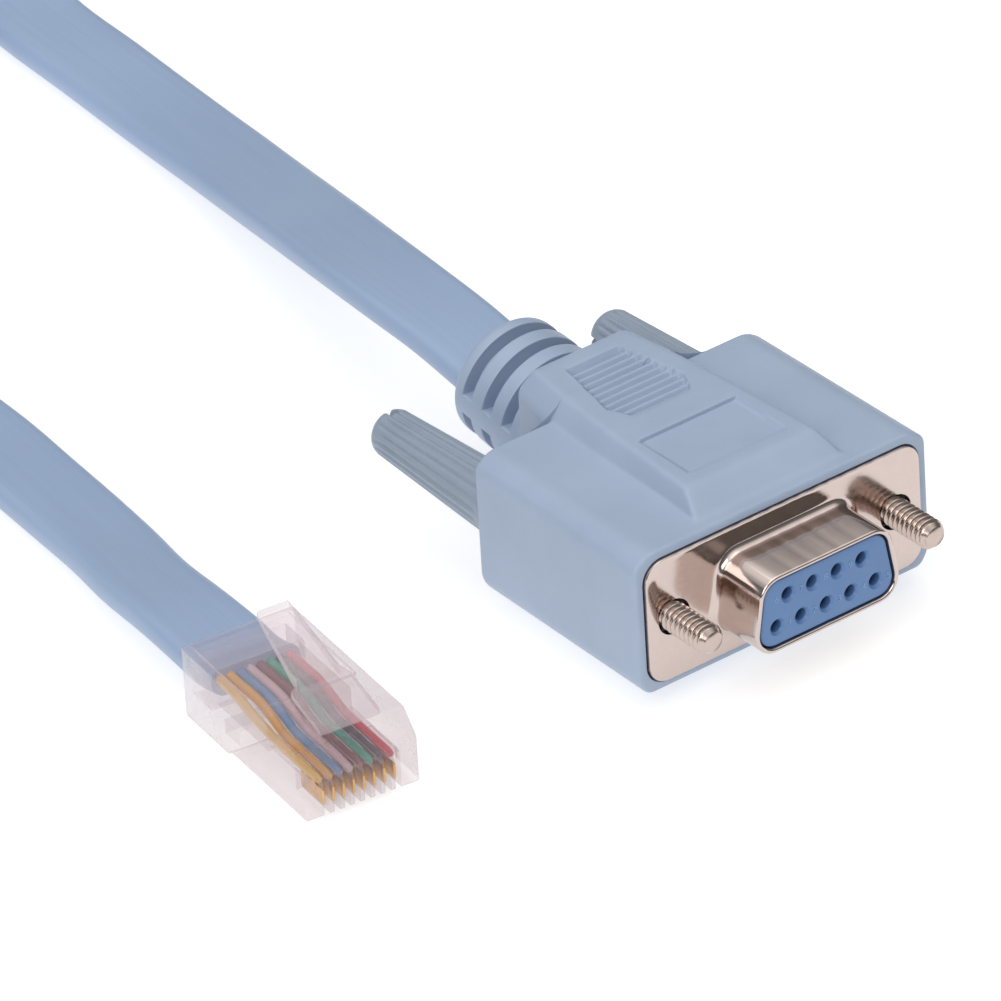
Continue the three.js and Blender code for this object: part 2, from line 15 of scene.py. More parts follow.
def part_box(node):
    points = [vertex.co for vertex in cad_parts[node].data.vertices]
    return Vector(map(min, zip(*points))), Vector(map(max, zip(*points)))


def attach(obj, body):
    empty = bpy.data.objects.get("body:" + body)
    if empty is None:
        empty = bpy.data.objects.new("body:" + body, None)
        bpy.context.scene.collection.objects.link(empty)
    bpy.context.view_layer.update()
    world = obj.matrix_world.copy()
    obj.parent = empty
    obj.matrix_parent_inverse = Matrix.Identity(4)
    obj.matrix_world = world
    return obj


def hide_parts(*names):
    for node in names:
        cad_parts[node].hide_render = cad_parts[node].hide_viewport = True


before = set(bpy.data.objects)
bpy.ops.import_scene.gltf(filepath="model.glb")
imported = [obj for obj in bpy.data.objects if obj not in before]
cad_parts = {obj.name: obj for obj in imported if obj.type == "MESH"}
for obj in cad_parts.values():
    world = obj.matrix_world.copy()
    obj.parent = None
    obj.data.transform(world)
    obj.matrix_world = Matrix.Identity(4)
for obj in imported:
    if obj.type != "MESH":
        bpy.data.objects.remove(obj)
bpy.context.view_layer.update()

MM = 0.001  # every size below is in millimetres, and every mesh is in metres

# %% [markdown]
# The connector is worked out in its own axes: the origin is in the middle of the flange's face, y
# runs back into the hood and z is up. Two lengths of the frame place it: how far the flange's face
# lies in front of the part's origin, and how high the middle of the spine is over the surface.

# %% Where the connector lies
SHELL_REACH = 5.9
RIM_STEP = 0.3  # how far the hood's rim stands behind the flange's face
FLANGE_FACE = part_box("front_shell")[0].y / MM + SHELL_REACH
MIDDLE_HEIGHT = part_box("hood")[1].z / MM / 2


def from_connector(points):
    """Points in the connector's own axes, moved into the part's frame."""
    return np.asarray(points, float) + [0, FLANGE_FACE, MIDDLE_HEIGHT]


print("flange's face at y", round(FLANGE_FACE, 3), "middle at z", round(MIDDLE_HEIGHT, 3))

# %% [markdown]
# The camera stands where the photograph's camera stood. It was far away with a long lens, so the
# object shows almost no perspective. Its three directions are given as unit vectors.

# %% Camera
def add_object(name, data):
    """An object that shows this data, linked to the scene."""
    thing = bpy.data.objects.new(name, data)
    bpy.context.scene.collection.objects.link(thing)
    return thing


CAMERA_PLACE = np.array([-582.0, -779.75, 629.7])
CAMERA_RIGHT = np.array([0.78919, -0.61198, -0.05156])
CAMERA_DOWN = np.array([-0.36466, -0.39938, -0.84114])
CAMERA_AHEAD = np.array([0.49417, 0.68262, -0.53835])
SENSOR = 36.0
LENS = 467.5

camera_data = bpy.data.cameras.new("camera")
camera_data.sensor_width = SENSOR
camera_data.lens = LENS
camera_data.clip_start, camera_data.clip_end = 0.05, 50
camera = add_object("camera", camera_data)
stand = np.eye(4)
stand[:3, :3] = np.stack([CAMERA_RIGHT, -CAMERA_DOWN, -CAMERA_AHEAD], axis=1)
stand[:3, 3] = CAMERA_PLACE * MM
camera.matrix_world = Matrix(stand.tolist())
bpy.context.scene.camera = camera
bpy.context.scene.view_settings.view_transform = "Standard"

# %% [markdown]
# Every surface here is a grid of points: rows run along the piece and columns run round it. One
# helper turns such a grid into faces, and another puts points and faces into a mesh. A closed mesh
# whose signed volume is negative is inside out, so its faces are turned round.


# %% Mesh helpers
def grid_faces(rows, columns, wrap_rows=False):
    """Four-sided faces of a grid: each takes a point, the next in its row, and the two above."""
    r, c = np.meshgrid(np.arange(rows if wrap_rows else rows - 1), np.arange(columns), indexing="ij")
    up, on = (r + 1) % rows, (c + 1) % columns
    faces = [r * columns + c, r * columns + on, up * columns + on, up * columns + c]
    return np.stack(faces, axis=-1).reshape(-1, 4)


def closed_skin(rings):
    """Rings of equal length, joined into a skin, with a fan to the middle of both end rings."""
    rows, columns, _ = rings.shape
    points = np.concatenate([rings.reshape(-1, 3), [rings[0].mean(axis=0)], [rings[-1].mean(axis=0)]])
    c = np.arange(columns)
    on = (c + 1) % columns
    low = np.stack([on, c, np.full(columns, rows * columns)], axis=1)
    last = (rows - 1) * columns
    high = np.stack([last + c, last + on, np.full(columns, rows * columns + 1)], axis=1)
    return points, [grid_faces(rows, columns), low, high]


def torus_skin(rings):
    """Rings of equal length whose last joins the first again, as round a hole."""
    rows, columns, _ = rings.shape
    return rings.reshape(-1, 3), [grid_faces(rows, columns, wrap_rows=True)]


def joined(skins):
    """Several skins as one set of points and faces."""
    points, faces, first = [], [], 0
    for some_points, some_faces in skins:
        points.append(some_points)
        faces += [face + first for face in some_faces]
        first += len(some_points)
    return np.concatenate(points), faces


def signed_volume(points, faces):
    """The sum over a fan of each face of a point's dot with the cross of the other two, over six."""
    total = 0.0
    for face in faces:
        for k in range(1, face.shape[1] - 1):
            a, b, c = points[face[:, 0]], points[face[:, k]], points[face[:, k + 1]]
            total += np.einsum("ij,ij->", a, np.cross(b, c)) / 6
    return total


def new_object(name, skin, sharp=40.0):
    """A mesh object from points in the part's frame, in millimetres, with faces pointing out."""
    points, faces = skin
    centred = points - points.mean(axis=0)
    if signed_volume(centred, faces) < 0:
        faces = [face[:, ::-1] for face in faces]
    mesh = bpy.data.meshes.new(name)
    mesh.vertices.add(len(points))
    mesh.vertices.foreach_set("co", (points * MM).astype(np.float32).ravel())
    corners = np.concatenate([face.ravel() for face in faces]).astype(np.int32)
    sizes = np.concatenate([np.full(len(face), face.shape[1]) for face in faces])
    mesh.loops.add(len(corners))
    mesh.loops.foreach_set("vertex_index", corners)
    mesh.polygons.add(len(sizes))
    mesh.polygons.foreach_set("loop_start", (np.cumsum(sizes) - sizes).astype(np.int32))
    mesh.update(calc_edges=True)
    mesh.validate()
    shade(mesh, sharp)
    return add_object(name, mesh)


def shade(mesh, sharp):
    """Smooth shading, with an edge left sharp where its faces meet at more than this angle."""
    mesh.polygons.foreach_set("use_smooth", np.ones(len(mesh.polygons), bool))
    mesh.set_sharp_from_angle(angle=math.radians(sharp))


def finish_piece(thing, body, material, replaced=()):
    """Give a piece its body and its material, and hide the construction parts that it stands for."""
    thing.data.materials.clear()
    thing.data.materials.append(material)
    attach(thing, body)
    if replaced:
        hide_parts(*replaced)
    print(thing.name, "has", len(thing.data.polygons), "faces")


def cut(thing, cutters, sharp):
    """Take cutters out of a piece with one exact boolean for each, and keep the result as its mesh."""
    for cutter in cutters:
        modifier = thing.modifiers.new("cut", "BOOLEAN")
        modifier.operation = "DIFFERENCE"
        modifier.solver = "EXACT"
        modifier.object = cutter
    apply_modifiers(thing, sharp)
    for cutter in cutters:
        bpy.data.objects.remove(cutter)


def apply_modifiers(thing, sharp):
    """Replace a piece's mesh by what its modifiers make of it."""
    graph = bpy.context.evaluated_depsgraph_get()
    made = bpy.data.meshes.new_from_object(thing.evaluated_get(graph))
    thing.modifiers.clear()
    thing.data = made
    shade(made, sharp)


def level_ring(points, y):
    """Points in x and z, as a ring at one y."""
    return np.stack([points[:, 0], np.broadcast_to(y, len(points)), points[:, 1]], axis=1)


def box_skin(low, high):
    """A box between two corners, as one ring of four at each end."""
    (x0, y0, z0), (x1, y1, z1) = low, high
    ring = np.array([[x0, z0], [x1, z0], [x1, z1], [x0, z1]], float)
    return closed_skin(np.stack([level_ring(ring, y) for y in (y0, y1)]))


def whole_turn(count):
    """Equal angles round a whole turn, without the last, which is the first again."""
    return np.linspace(0, 2 * np.pi, count, endpoint=False)


def round_rings(x, y, z, radius, angle):
    """Rings round a line that runs along y: each point is a radius away from x and z at its angle."""
    across = x + radius * np.cos(angle)
    return np.stack([across, np.broadcast_to(y, across.shape), z + radius * np.sin(angle)], axis=-1)


def turned_skin(profile, sides, centre):
    """A profile of (radius, y) turned about a line along y, with its ends closed."""
    radius, y = np.array(profile, float).T[:, :, None]
    return closed_skin(round_rings(centre[0], y, centre[1], radius, whole_turn(sides)))


def convex_outline(corners, radius, per_arc, per_side):
    """A convex outline with round corners: points and outward normals. Each arc's middle lies in
    from its corner along both edges' normals, so that it is a radius away from both edges."""
    corners = np.asarray(corners, float)
    edge = np.roll(corners, -1, axis=0) - corners
    normal = np.stack([edge[:, 1], -edge[:, 0]], axis=1) / np.linalg.norm(edge, axis=1)[:, None]
    before = np.roll(normal, 1, axis=0)
    inward = (before + normal) / (1 + (before * normal).sum(axis=1, keepdims=True))
    centre = corners - radius * inward
    start = np.arctan2(before[:, 1], before[:, 0])
    sweep = (np.arctan2(normal[:, 1], normal[:, 0]) - start) % (2 * np.pi)
    angle = start[:, None] + sweep[:, None] * np.linspace(0, 1, per_arc + 1)
    arcs_normal = np.stack([np.cos(angle), np.sin(angle)], axis=-1)
    arcs = centre[:, None] + radius * arcs_normal
    share = np.linspace(0, 1, per_side + 1)[1:-1, None]
    points, normals = [], []
    for i in range(len(corners)):
        on = (i + 1) % len(corners)
        points += [arcs[i], arcs[i, -1] + (arcs[on, 0] - arcs[i, -1]) * share]
        normals += [arcs_normal[i], np.repeat(normal[i][None], len(share), axis=0)]
    return np.concatenate(points), np.concatenate(normals)


def rectangle(width, height):
    """The corners of a rectangle about the middle, anticlockwise."""
    return np.array([[-1, -1], [1, -1], [1, 1], [-1, 1]]) * [width / 2, height / 2]


# %% [markdown]
# The cable is free, so it comes first. It leaves the strain relief, passes over a low hump, lies
# down on the surface and runs out of the picture into a round coil of two layers. It comes back
# from the upper layer and enters the plug. The free stretches are given as lists, and the
# coil's turns are worked out by formula. Each station is x, y, z and how far the cable is rolled
# about the way it runs: 0 lies flat and 90 stands on its edge, as the turns do.

# %% The cable's route
CABLE = dict(width=9.0, thickness=2.5)
RELIEF_RISE = math.radians(6.4)
RELIEF_LENGTH = 10.77
RELIEF_START = 29.7
PLUG = dict(x=-43.0, y=-12.25, turn=math.radians(-7.2), width=11.4, length=21.5)
JACKET = dict(end=18.4, height=3.5, raised=4.3)
COIL = dict(x=-34.0, y=154.15, inner=38.9, outer=48.0, joined=51.2, low=5.7, high=15.0)
TURNS = dict(merged=0.11, inmost=2.55, climb=2.6, climbed=2.85, outmost=5.54, left=5.653, step=1 / 24)


def on_relief(along):
    """A point on the strain relief's axis, which rises to the back."""
    rise = RELIEF_RISE
    return from_connector([0, RELIEF_START + along * math.cos(rise), along * math.sin(rise)])


def on_plug(back, height):
    """A point on the plug's middle line, this far back from its nose."""
    return [PLUG["x"] - back * math.sin(PLUG["turn"]), PLUG["y"] + back * math.cos(PLUG["turn"]), height]


def coil_stations():
    """Turns inwards below, a climb at the inmost turn, then turns outwards above. The radius runs
    straight between its values at named turns, and a cosine eases the climb."""
    turns = np.arange(TURNS["step"], TURNS["left"] - TURNS["step"] / 2, TURNS["step"])
    radius = np.interp(
        turns, [0, TURNS["merged"], TURNS["inmost"], TURNS["climbed"], TURNS["outmost"], TURNS["left"]],
        [COIL["joined"], COIL["outer"], COIL["inner"], COIL["inner"], COIL["outer"], COIL["joined"]])
    climb = np.clip((turns - TURNS["climb"]) / (TURNS["climbed"] - TURNS["climb"]), 0, 1)
    height = COIL["low"] + (COIL["high"] - COIL["low"]) * (1 - np.cos(np.pi * climb)) / 2
    angle = 2 * np.pi * turns
    return np.stack([COIL["x"] + radius * np.cos(angle), COIL["y"] + radius * np.sin(angle), height,
                     np.full(len(turns), 90.0)], axis=1)


RELIEF_EXIT = on_relief(RELIEF_LENGTH)
FROM_HOOD = [
    [*on_relief(RELIEF_LENGTH - 4), 0], [*RELIEF_EXIT, 0],
    [0.2, 30.1, 11.2, 1], [0.6, 38.1, 11.4, 3], [1.8, 46.1, 10.6, 4.5], [3.7, 54.1, 9.0, 6],
    [5.9, 62.1, 7.0, 6.5], [8.0, 70.1, 5.1, 6.5], [9.8, 78.1, 3.6, 6.5], [11.1, 86.1, 2.6, 6.5],
    [12.0, 94.1, 2.15, 6.5], [12.6, 102.1, 2.1, 6.5], [13.2, 112.1, 2.1, 7], [14.2, 120.1, 2.5, 17],
    [15.3, 129.1, 3.9, 42], [16.2, 138.1, 5.0, 68], [16.9, 147.1, 5.6, 85], [17.2, 154.1, 5.7, 90],
]
TO_PLUG = [
    [-63.4, 112.2, 15.0, 90], [-53.7, 106.1, 13.9, 86], [-46.5, 99.1, 11.4, 75], [-40.9, 91.1, 8.3, 58],
    [-36.8, 82.1, 5.3, 38], [-34.2, 73.1, 3.1, 18], [-33.5, 64.1, 1.7, 5], [-33.7, 56.1, 1.3, 0],
    [-34.6, 48.1, 1.45, 1], [-35.5, 40.1, 1.6, 2], [-36.55, 33.1, 1.95, 4], [-38.1, 26.1, 2.65, 4.5],
    [-39.15, 19.1, 3.4, 3],
    [*on_plug(PLUG["length"] + 4, JACKET["height"]), 0], [*on_plug(PLUG["length"], JACKET["height"]), 0],
    [*on_plug(JACKET["end"], JACKET["raised"]), 0],
]


def smooth_line(stations, spacing):
    """A Catmull-Rom line through stations, with knots a square root of each distance apart, then
    read off at equal distances along it. Works on all columns of the stations at once."""
    p = np.asarray(stations, float)
    p = np.concatenate([[2 * p[0] - p[1]], p, [2 * p[-1] - p[-2]]])
    knot = np.concatenate([[0], np.cumsum(np.sqrt(np.linalg.norm(np.diff(p[:, :3], axis=0), axis=1)))])
    part = np.repeat(np.arange(1, len(p) - 2), 12)
    share = np.tile(np.arange(12) / 12, len(p) - 3)
    t0, t1, t2, t3 = (knot[part + k][:, None] for k in (-1, 0, 1, 2))
    p0, p1, p2, p3 = (p[part + k] for k in (-1, 0, 1, 2))
    t = t1 + (t2 - t1) * share[:, None]

    def between(a, b, ta, tb):
        return (a * (tb - t) + b * (t - ta)) / (tb - ta)

    low = between(between(p0, p1, t0, t1), between(p1, p2, t1, t2), t0, t2)
    high = between(between(p1, p2, t1, t2), between(p2, p3, t2, t3), t1, t3)
    fine = np.concatenate([between(low, high, t1, t2), [p[-2]]])
    along = np.concatenate([[0], np.cumsum(np.linalg.norm(np.diff(fine[:, :3], axis=0), axis=1))])
    at = np.linspace(0, along[-1], int(along[-1] / spacing) + 1)
    return np.stack([np.interp(at, along, fine[:, k]) for k in range(p.shape[1])], axis=1), at


def flat_frames(line):
    """At each point of a line: the direction of the cable's width and of its thickness. Sideways
    is level and across the way it runs, and the roll turns it up towards standing on edge."""
    ahead = np.gradient(line[:, :3], axis=0)
    ahead /= np.linalg.norm(ahead, axis=1, keepdims=True)
    side = np.cross(ahead, [0, 0, 1])
    side /= np.linalg.norm(side, axis=1, keepdims=True)
    up = np.cross(side, ahead)
    roll = np.radians(line[:, 3:4])
    wide = side * np.cos(roll) + up * np.sin(roll)
    return wide, np.cross(ahead, wide)


line, along = smooth_line(np.concatenate([FROM_HOOD, coil_stations(), TO_PLUG]), 1.6)
CABLE_LENGTH = along[-1] * MM
print("cable's length", round(CABLE_LENGTH, 4), "m")

# %% [markdown]
# The jacket's section is a flat bar with round edges. Carrying it along the route's frames makes
# the whole cable as one skin, and a UV map that holds metres along the cable and millimetres
# across it lets the finish run with the cable through every bend.

# %% The cable's mesh
EDGE_ROUND = 0.46  # the radius of the jacket's edges, as a share of its thickness
outline, _ = convex_outline(
    rectangle(CABLE["width"], CABLE["thickness"]), CABLE["thickness"] * EDGE_ROUND, 6, 4)
wide, thick = flat_frames(line)
across, through = outline[None, :, :1] * wide[:, None], outline[None, :, 1:] * thick[:, None]
rings = line[:, None, :3] + across + through
cable = new_object("cable", closed_skin(rings), sharp=60)


def run_uv(thing, along, around):
    """Give a skin made of rings a UV map: distance along it, and distance round it."""
    rows, columns = len(along), len(around)
    u = np.concatenate([np.repeat(along, columns), [along[0], along[-1]]])
    v = np.concatenate([np.tile(around, rows), [0, 0]])
    corner = np.empty(len(thing.data.loops), np.int32)
    thing.data.loops.foreach_get("vertex_index", corner)
    layer = thing.data.uv_layers.new(name="run")
    layer.data.foreach_set("uv", np.stack([u[corner], v[corner]], axis=1).astype(np.float32).ravel())


run_uv(cable, along * MM, outline[:, 0] * MM)

# %% [markdown]
# Finishes come next, because every piece below needs one. A finish is a Principled shader with a
# few nodes in front of it. To keep the maths readable, a signal wraps one socket, so that an
# expression such as `0.4 + 0.1 * noise` adds the Math nodes that it names.


# %% Shader helpers
class Signal:
    """What one socket of a finish gives. Arithmetic with signals or numbers adds Math nodes."""

    def __init__(self, finish, socket):
        self.finish, self.socket = finish, socket

    def maths(self, operation, *values):
        """A Math node on these values."""
        return self.finish.node("ShaderNodeMath", dict(operation=operation), dict(enumerate(values)))

    def __add__(self, other):
        return self.maths("ADD", self, other)

    def __mul__(self, other):
        return self.maths("MULTIPLY", self, other)

    def __sub__(self, other):
        return self.maths("SUBTRACT", self, other)

    def __rsub__(self, other):
        return self.maths("SUBTRACT", other, self)

    def __pow__(self, other):
        return self.maths("POWER", self, other)

    __radd__, __rmul__ = __add__, __mul__


class Finish:
    """A material made in code. What is the same all over goes straight on the shader's sockets."""

    def __init__(self, name, **constants):
        self.material = bpy.data.materials.new(name)
        self.material.use_nodes = True
        self.tree = self.material.node_tree
        self.shader = self.tree.nodes["Principled BSDF"]
        for socket, value in constants.items():
            self.shader.inputs[socket.replace("_", " ")].default_value = value
        self.place = self.node("ShaderNodeTexCoord", output="Object")

    def node(self, kind, settings=None, inputs=None, output=0):
        """Add any node: its settings first, then the values or links of its sockets."""
        made = self.tree.nodes.new(kind)
        for key, value in (settings or {}).items():
            setattr(made, key, value)
        for key, value in (inputs or {}).items():
            if isinstance(value, Signal):
                self.tree.links.new(value.socket, made.inputs[key])
            else:
                made.inputs[key].default_value = value
        return Signal(self, made.outputs[output])

    def noise(self, size, detail=3.0, place=None, stretch=(1, 1, 1)):
        """Noise between 0 and 1 whose blobs are this many millimetres across."""
        scale = tuple(s / (size * MM) for s in stretch)
        mapped = self.node("ShaderNodeMapping", None, {"Vector": place or self.place, "Scale": scale})
        return self.node("ShaderNodeTexNoise", None, {"Vector": mapped, "Scale": 1.0, "Detail": detail})

    def blend(self, share, one, other):
        """A colour that runs from one to the other."""
        return self.node("ShaderNodeMix", dict(data_type="RGBA"), {0: share, 6: one, 7: other}, output=2)

    def paint(self, socket, signal):
        """Feed one of the shader's sockets."""
        self.tree.links.new(signal.socket, self.shader.inputs[socket])

    def relief(self, height, depth):
        """Bump the surface: a height of 0 to 1 stands for this many millimetres."""
        inputs = {"Height": height, "Distance": depth * MM, "Strength": 1.0}
        self.paint("Normal", self.node("ShaderNodeBump", None, inputs, output="Normal"))


LIGHT = 1.0  # how bright a level white surface looks in this light


def seen(red, green, blue):
    """The base colour that looks like this screen colour: the screen's curve undone, over the light."""
    c = np.array([red, green, blue]) / 255
    linear = np.where(c > 0.04045, ((c + 0.055) / 1.055) ** 2.4, c / 12.92)
    return (*(linear / LIGHT).tolist(), 1.0)


def moulded(name, dark, pale, roughness, grain, depth, **constants):
    """A plastic finish: slow cloudy colour, a fine grain in the surface, and a gloss that follows it."""
    finish = Finish(name, **constants)
    cloud = finish.noise(6.0, 2.0)
    fine = finish.noise(grain, 4.0)
    finish.paint("Base Color", finish.blend(0.75 * cloud + 0.25 * fine, dark, pale))
    finish.paint("Roughness", roughness + 0.16 * (fine - 0.5) + 0.08 * (cloud - 0.5))
    finish.relief(fine, depth)
    return finish.material


# %% [markdown]
# The hood, the knobs and the insulator are satin mouldings. The jacket of the cable was pushed
# through a die, so its marks run along it: its noise is stretched along the UV map's first axis.
# The plating is a metal whose gloss is broken by faint drawing marks, and the contacts are gold.

# %% Finishes
hood_finish = moulded("hood_plastic", seen(149, 165, 188), seen(167, 182, 204), 0.46, 0.35, 0.012)
knob_finish = moulded("knob_plastic", seen(134, 147, 163), seen(153, 165, 181), 0.4, 0.3, 0.01)
insulator_finish = moulded(
    "insulator_plastic", seen(84, 119, 168), seen(100, 137, 186), 0.33, 0.3, 0.006)
# The numbers are moulded in the insulator's own plastic; their lighter blue is a painted highlight, the
# light that catches the raised figures.
number_painted_highlight_finish = moulded(
    "number_plastic_painted_highlight", seen(118, 153, 198), seen(132, 166, 208), 0.3, 0.3, 0.004)


def jacket_finish():
    """Satin jacket: streaks along the cable, slow colour changes, and fine specks in its gloss and
    surface.
    """
    finish = Finish("cable_jacket", IOR=1.5)
    run = finish.node("ShaderNodeUVMap", dict(uv_map="run"), output="UV")
    streak = finish.noise(0.5, 3.0, run, (0.02, 1, 1))
    cloud = finish.noise(30.0, 2.0, run, (1, 3, 1))
    speck = finish.noise(0.2, 2.0)
    finish.paint("Base Color", finish.blend(
        0.5 * cloud + 0.5 * streak, seen(138, 158, 188), seen(158, 178, 206)))
    finish.paint("Roughness", 0.4 + 0.12 * (streak - 0.5) + 0.06 * (speck - 0.5))
    finish.relief(0.7 * streak + 0.3 * speck, 0.015)
    return finish.material


def plating(name, dark, pale, roughness, stretch):
    """Metal: drawing marks that vary gloss and tone, and a very shallow unevenness."""
    finish = Finish(name, Metallic=1.0)
    mark = finish.noise(0.35, 4.0, None, stretch)
    wave = finish.noise(2.5, 1.0)
    finish.paint("Base Color", finish.blend(0.5 * mark + 0.5 * wave, dark, pale))
    finish.paint("Roughness", roughness + 0.12 * (mark - 0.5) + 0.06 * (wave - 0.5))
    finish.relief(0.2 * mark + 0.8 * wave, 0.008)
    return finish.material


cable_finish = jacket_finish()
nickel_finish = plating("nickel_plating", seen(196, 181, 175), seen(212, 197, 190), 0.13, (1, 0.2, 1))
screw_finish = plating("screw_plating", seen(186, 170, 161), seen(206, 190, 181), 0.22, (1, 1, 1))
gold_finish = plating("gold_plating", seen(214, 166, 84), seen(240, 196, 112), 0.25, (1, 0.3, 1))

# %% The cable finished
finish_piece(cable, "root", cable_finish, ["cable_from_hood", "cable_coil", "cable_to_plug"])

# %% [markdown]
# The hood is one moulding: a block with bevelled edges, a raised spine above and below, and a
# barrel that narrows to the cable. Its edges are all softly rounded. A good way to get that is a
# signed distance field: each flat gives a distance, the largest of them bounds the block, and a
# blended maximum rounds the edge between two flats by as much as the blend is wide. The surface
# is then found from outside, along rays in one cross section after another.

# %% Blended distances
BLOCK = dict(back=23.5, front_half=16.4, back_half=16.15, half_height=7.15)
BEVEL = dict(top_x=1.6, top_z=1.1, low_x=1.0, low_z=1.4)
SPINE = dict(half_height=9.0, foot=6.9, front_top=4.4, front_foot=1.4, back_foot=30.0, back_top=28.9)
SPINE_BACKS = (17.0, 23.2, 30.0)
SPINE_TOP = np.polyfit((SPINE["front_top"], *SPINE_BACKS), (7.3, 6.5, 5.9, 4.9), 3)
SPINE_FOOT = np.polyfit((SPINE["front_foot"], *SPINE_BACKS), (8.5, 8.1, 7.7, 6.2), 3)
BARREL = dict(root=6.2, end=5.9, sink=2.5)
SLOTS = dict(backs=(9.27, 6.37, 3.47), width=1.3, floor=4.4, web=math.radians(10))
GRIP = dict(front=17.0, waist=19.2, back=26.8, halves=(3.3, 4.3, 2.9), pitch=0.98, crest=0.22,
            groove=0.72)
PANEL = dict(half=5.4, front=6.2, back=13.2, depth=0.3)


def most(a, b, blend):
    """The larger of two fields, rounded where they differ by less than the blend: the larger one
    plus a quarter of what is left of the blend, squared, over the blend."""
    left = np.maximum(blend - np.abs(a - b), 0)
    return np.maximum(a, b) + left * left / (4 * blend)


def least(a, b, blend):
    """The smaller of two fields, rounded in the same way."""
    return -most(-a, -b, blend)


def slant(x, z, at, run):
    """The distance to a plane that cuts `run` off both sides of a corner at `at`."""
    (ax, az), (rx, rz) = at, run
    return ((x - ax) * rz + (z - az) * rx + rx * rz) / math.hypot(rx, rz)


def block_field(x, y, z):
    """The block: its sides draw in to the back, and slanting planes take off its long edges."""
    half = np.interp(y, (RIM_STEP, BLOCK["back"]), (BLOCK["front_half"], BLOCK["back_half"]))
    high = BLOCK["half_height"]
    side = np.abs(x) - half
    field = most(side, np.abs(z) - high, 0.4)
    field = most(field, slant(side, z - high, (0, 0), (BEVEL["top_x"], BEVEL["top_z"])), 0.5)
    field = most(field, slant(side, -z - high, (0, 0), (BEVEL["low_x"], BEVEL["low_z"])), 0.5)
    return most(most(field, y - BLOCK["back"], 0.5), RIM_STEP - y, 0.45)


def spine_field(x, y, z):
    """The spine: its width follows two cubic curves, one at its foot and one along its top."""
    x, z = np.abs(x), np.abs(z)
    rise = SPINE["half_height"] - SPINE["foot"]
    foot, top = np.polyval(SPINE_FOOT, y), np.polyval(SPINE_TOP, y)
    slope = (foot - top) / rise
    field = most(x - foot, (x - foot + (z - SPINE["foot"]) * slope) / np.hypot(1, slope), 0.4)

    def end_face(past_foot, run):
        """A slanting end: it starts at the foot's end and draws in by the run at the top."""
        return (past_foot * rise + (z - SPINE["foot"]) * run) / math.hypot(rise, run)

    front = end_face(SPINE["front_foot"] - y, SPINE["front_top"] - SPINE["front_foot"])
    back = end_face(y - SPINE["back_foot"], SPINE["back_foot"] - SPINE["back_top"])
    field = most(field, z - SPINE["half_height"], 0.35)
    return most(most(field, front, 0.35), most(back, y - SPINE["back_foot"], 0.4), 0.5)


def barrel_field(x, y, z):
    """The strain relief: a cone about its rising axis, with slots that leave a web at each side."""
    back = y - RELIEF_START
    s = back * math.cos(RELIEF_RISE) + z * math.sin(RELIEF_RISE)
    w = np.abs(z * math.cos(RELIEF_RISE) - back * math.sin(RELIEF_RISE))
    around = np.hypot(x, w)
    taper = np.interp(s, (0, RELIEF_LENGTH), (BARREL["root"], BARREL["end"]))
    field = most(most(around - taper, s - RELIEF_LENGTH, 0.9), -BARREL["sink"] - s, 0.2)
    web = np.abs(x) * math.sin(SLOTS["web"]) - w * math.cos(SLOTS["web"])
    for slot_back in SLOTS["backs"]:
        wall = np.abs(s - slot_back + SLOTS["width"] / 2) - SLOTS["width"] / 2
        field = most(field, -np.maximum(np.maximum(SLOTS["floor"] - around, wall), web), 0.16)
    return field


def hollows_field(x, y, z):
    """The ribbed grip and the bare panel, both sunk in the spine: under zero inside a hollow."""
    x, z = np.abs(x), np.abs(z)
    wave = (0.5 - 0.5 * np.cos(2 * np.pi * (y - GRIP["front"]) / GRIP["pitch"])) ** 1.3
    floor = SPINE["half_height"] - GRIP["crest"] - (GRIP["groove"] - GRIP["crest"]) * wave
    half = np.interp(y, (GRIP["front"], GRIP["waist"], GRIP["back"]), GRIP["halves"])

    def hollow(half, floor, ends):
        """A box between two ends, this wide to both sides and down to this floor."""
        past_ends = np.abs(y - (ends["front"] + ends["back"]) / 2) - (ends["back"] - ends["front"]) / 2
        return np.maximum(np.maximum(x - half, floor - z), past_ends)

    panel = hollow(PANEL["half"], SPINE["half_height"] - PANEL["depth"], PANEL)
    return np.minimum(hollow(half, floor, GRIP), panel)


def hood_field(x, y, z):
    """The block or the spine, less their hollows, or the strain relief."""
    body = least(block_field(x, y, z), spine_field(x, y, z), 0.3)
    body = most(body, -hollows_field(x, y, z), 0.12)
    return least(body, barrel_field(x, y, z), 0.5)


# %% [markdown]
# Each cross section is a ring of rays from its middle. The field is read at many places on every
# ray, the outermost place inside is kept, and halving the step around it gives the surface. The
# ring's points are then spread so that they crowd where the outline bends.

# %% Rays in cross sections
RAYS = 720
COLUMNS = 256
BEND_WEIGHT = 0.9  # millimetres of outline that a turn of one radian counts for


def traced_ring(field, middle, up, reach=20.0):
    """The outermost surface points of one section, on rays at equal angles, as x, y, z."""
    angle = whole_turn(RAYS)
    ray = np.cos(angle)[:, None] * np.array([1.0, 0, 0]) + np.sin(angle)[:, None] * np.asarray(up)
    steps = np.linspace(reach, 2.0, 73)
    places = np.asarray(middle) + ray[:, None] * steps[:, None]
    inside = field(places[..., 0], places[..., 1], places[..., 2]) < 0
    first = np.argmax(inside, axis=1)
    near, far = steps[first], steps[np.maximum(first - 1, 0)]
    for _ in range(14):
        between = (near + far) / 2
        place = middle + ray * between[:, None]
        within = field(place[:, 0], place[:, 1], place[:, 2]) < 0
        near, far = np.where(within, between, near), np.where(within, far, between)
    return middle + ray * near[:, None]


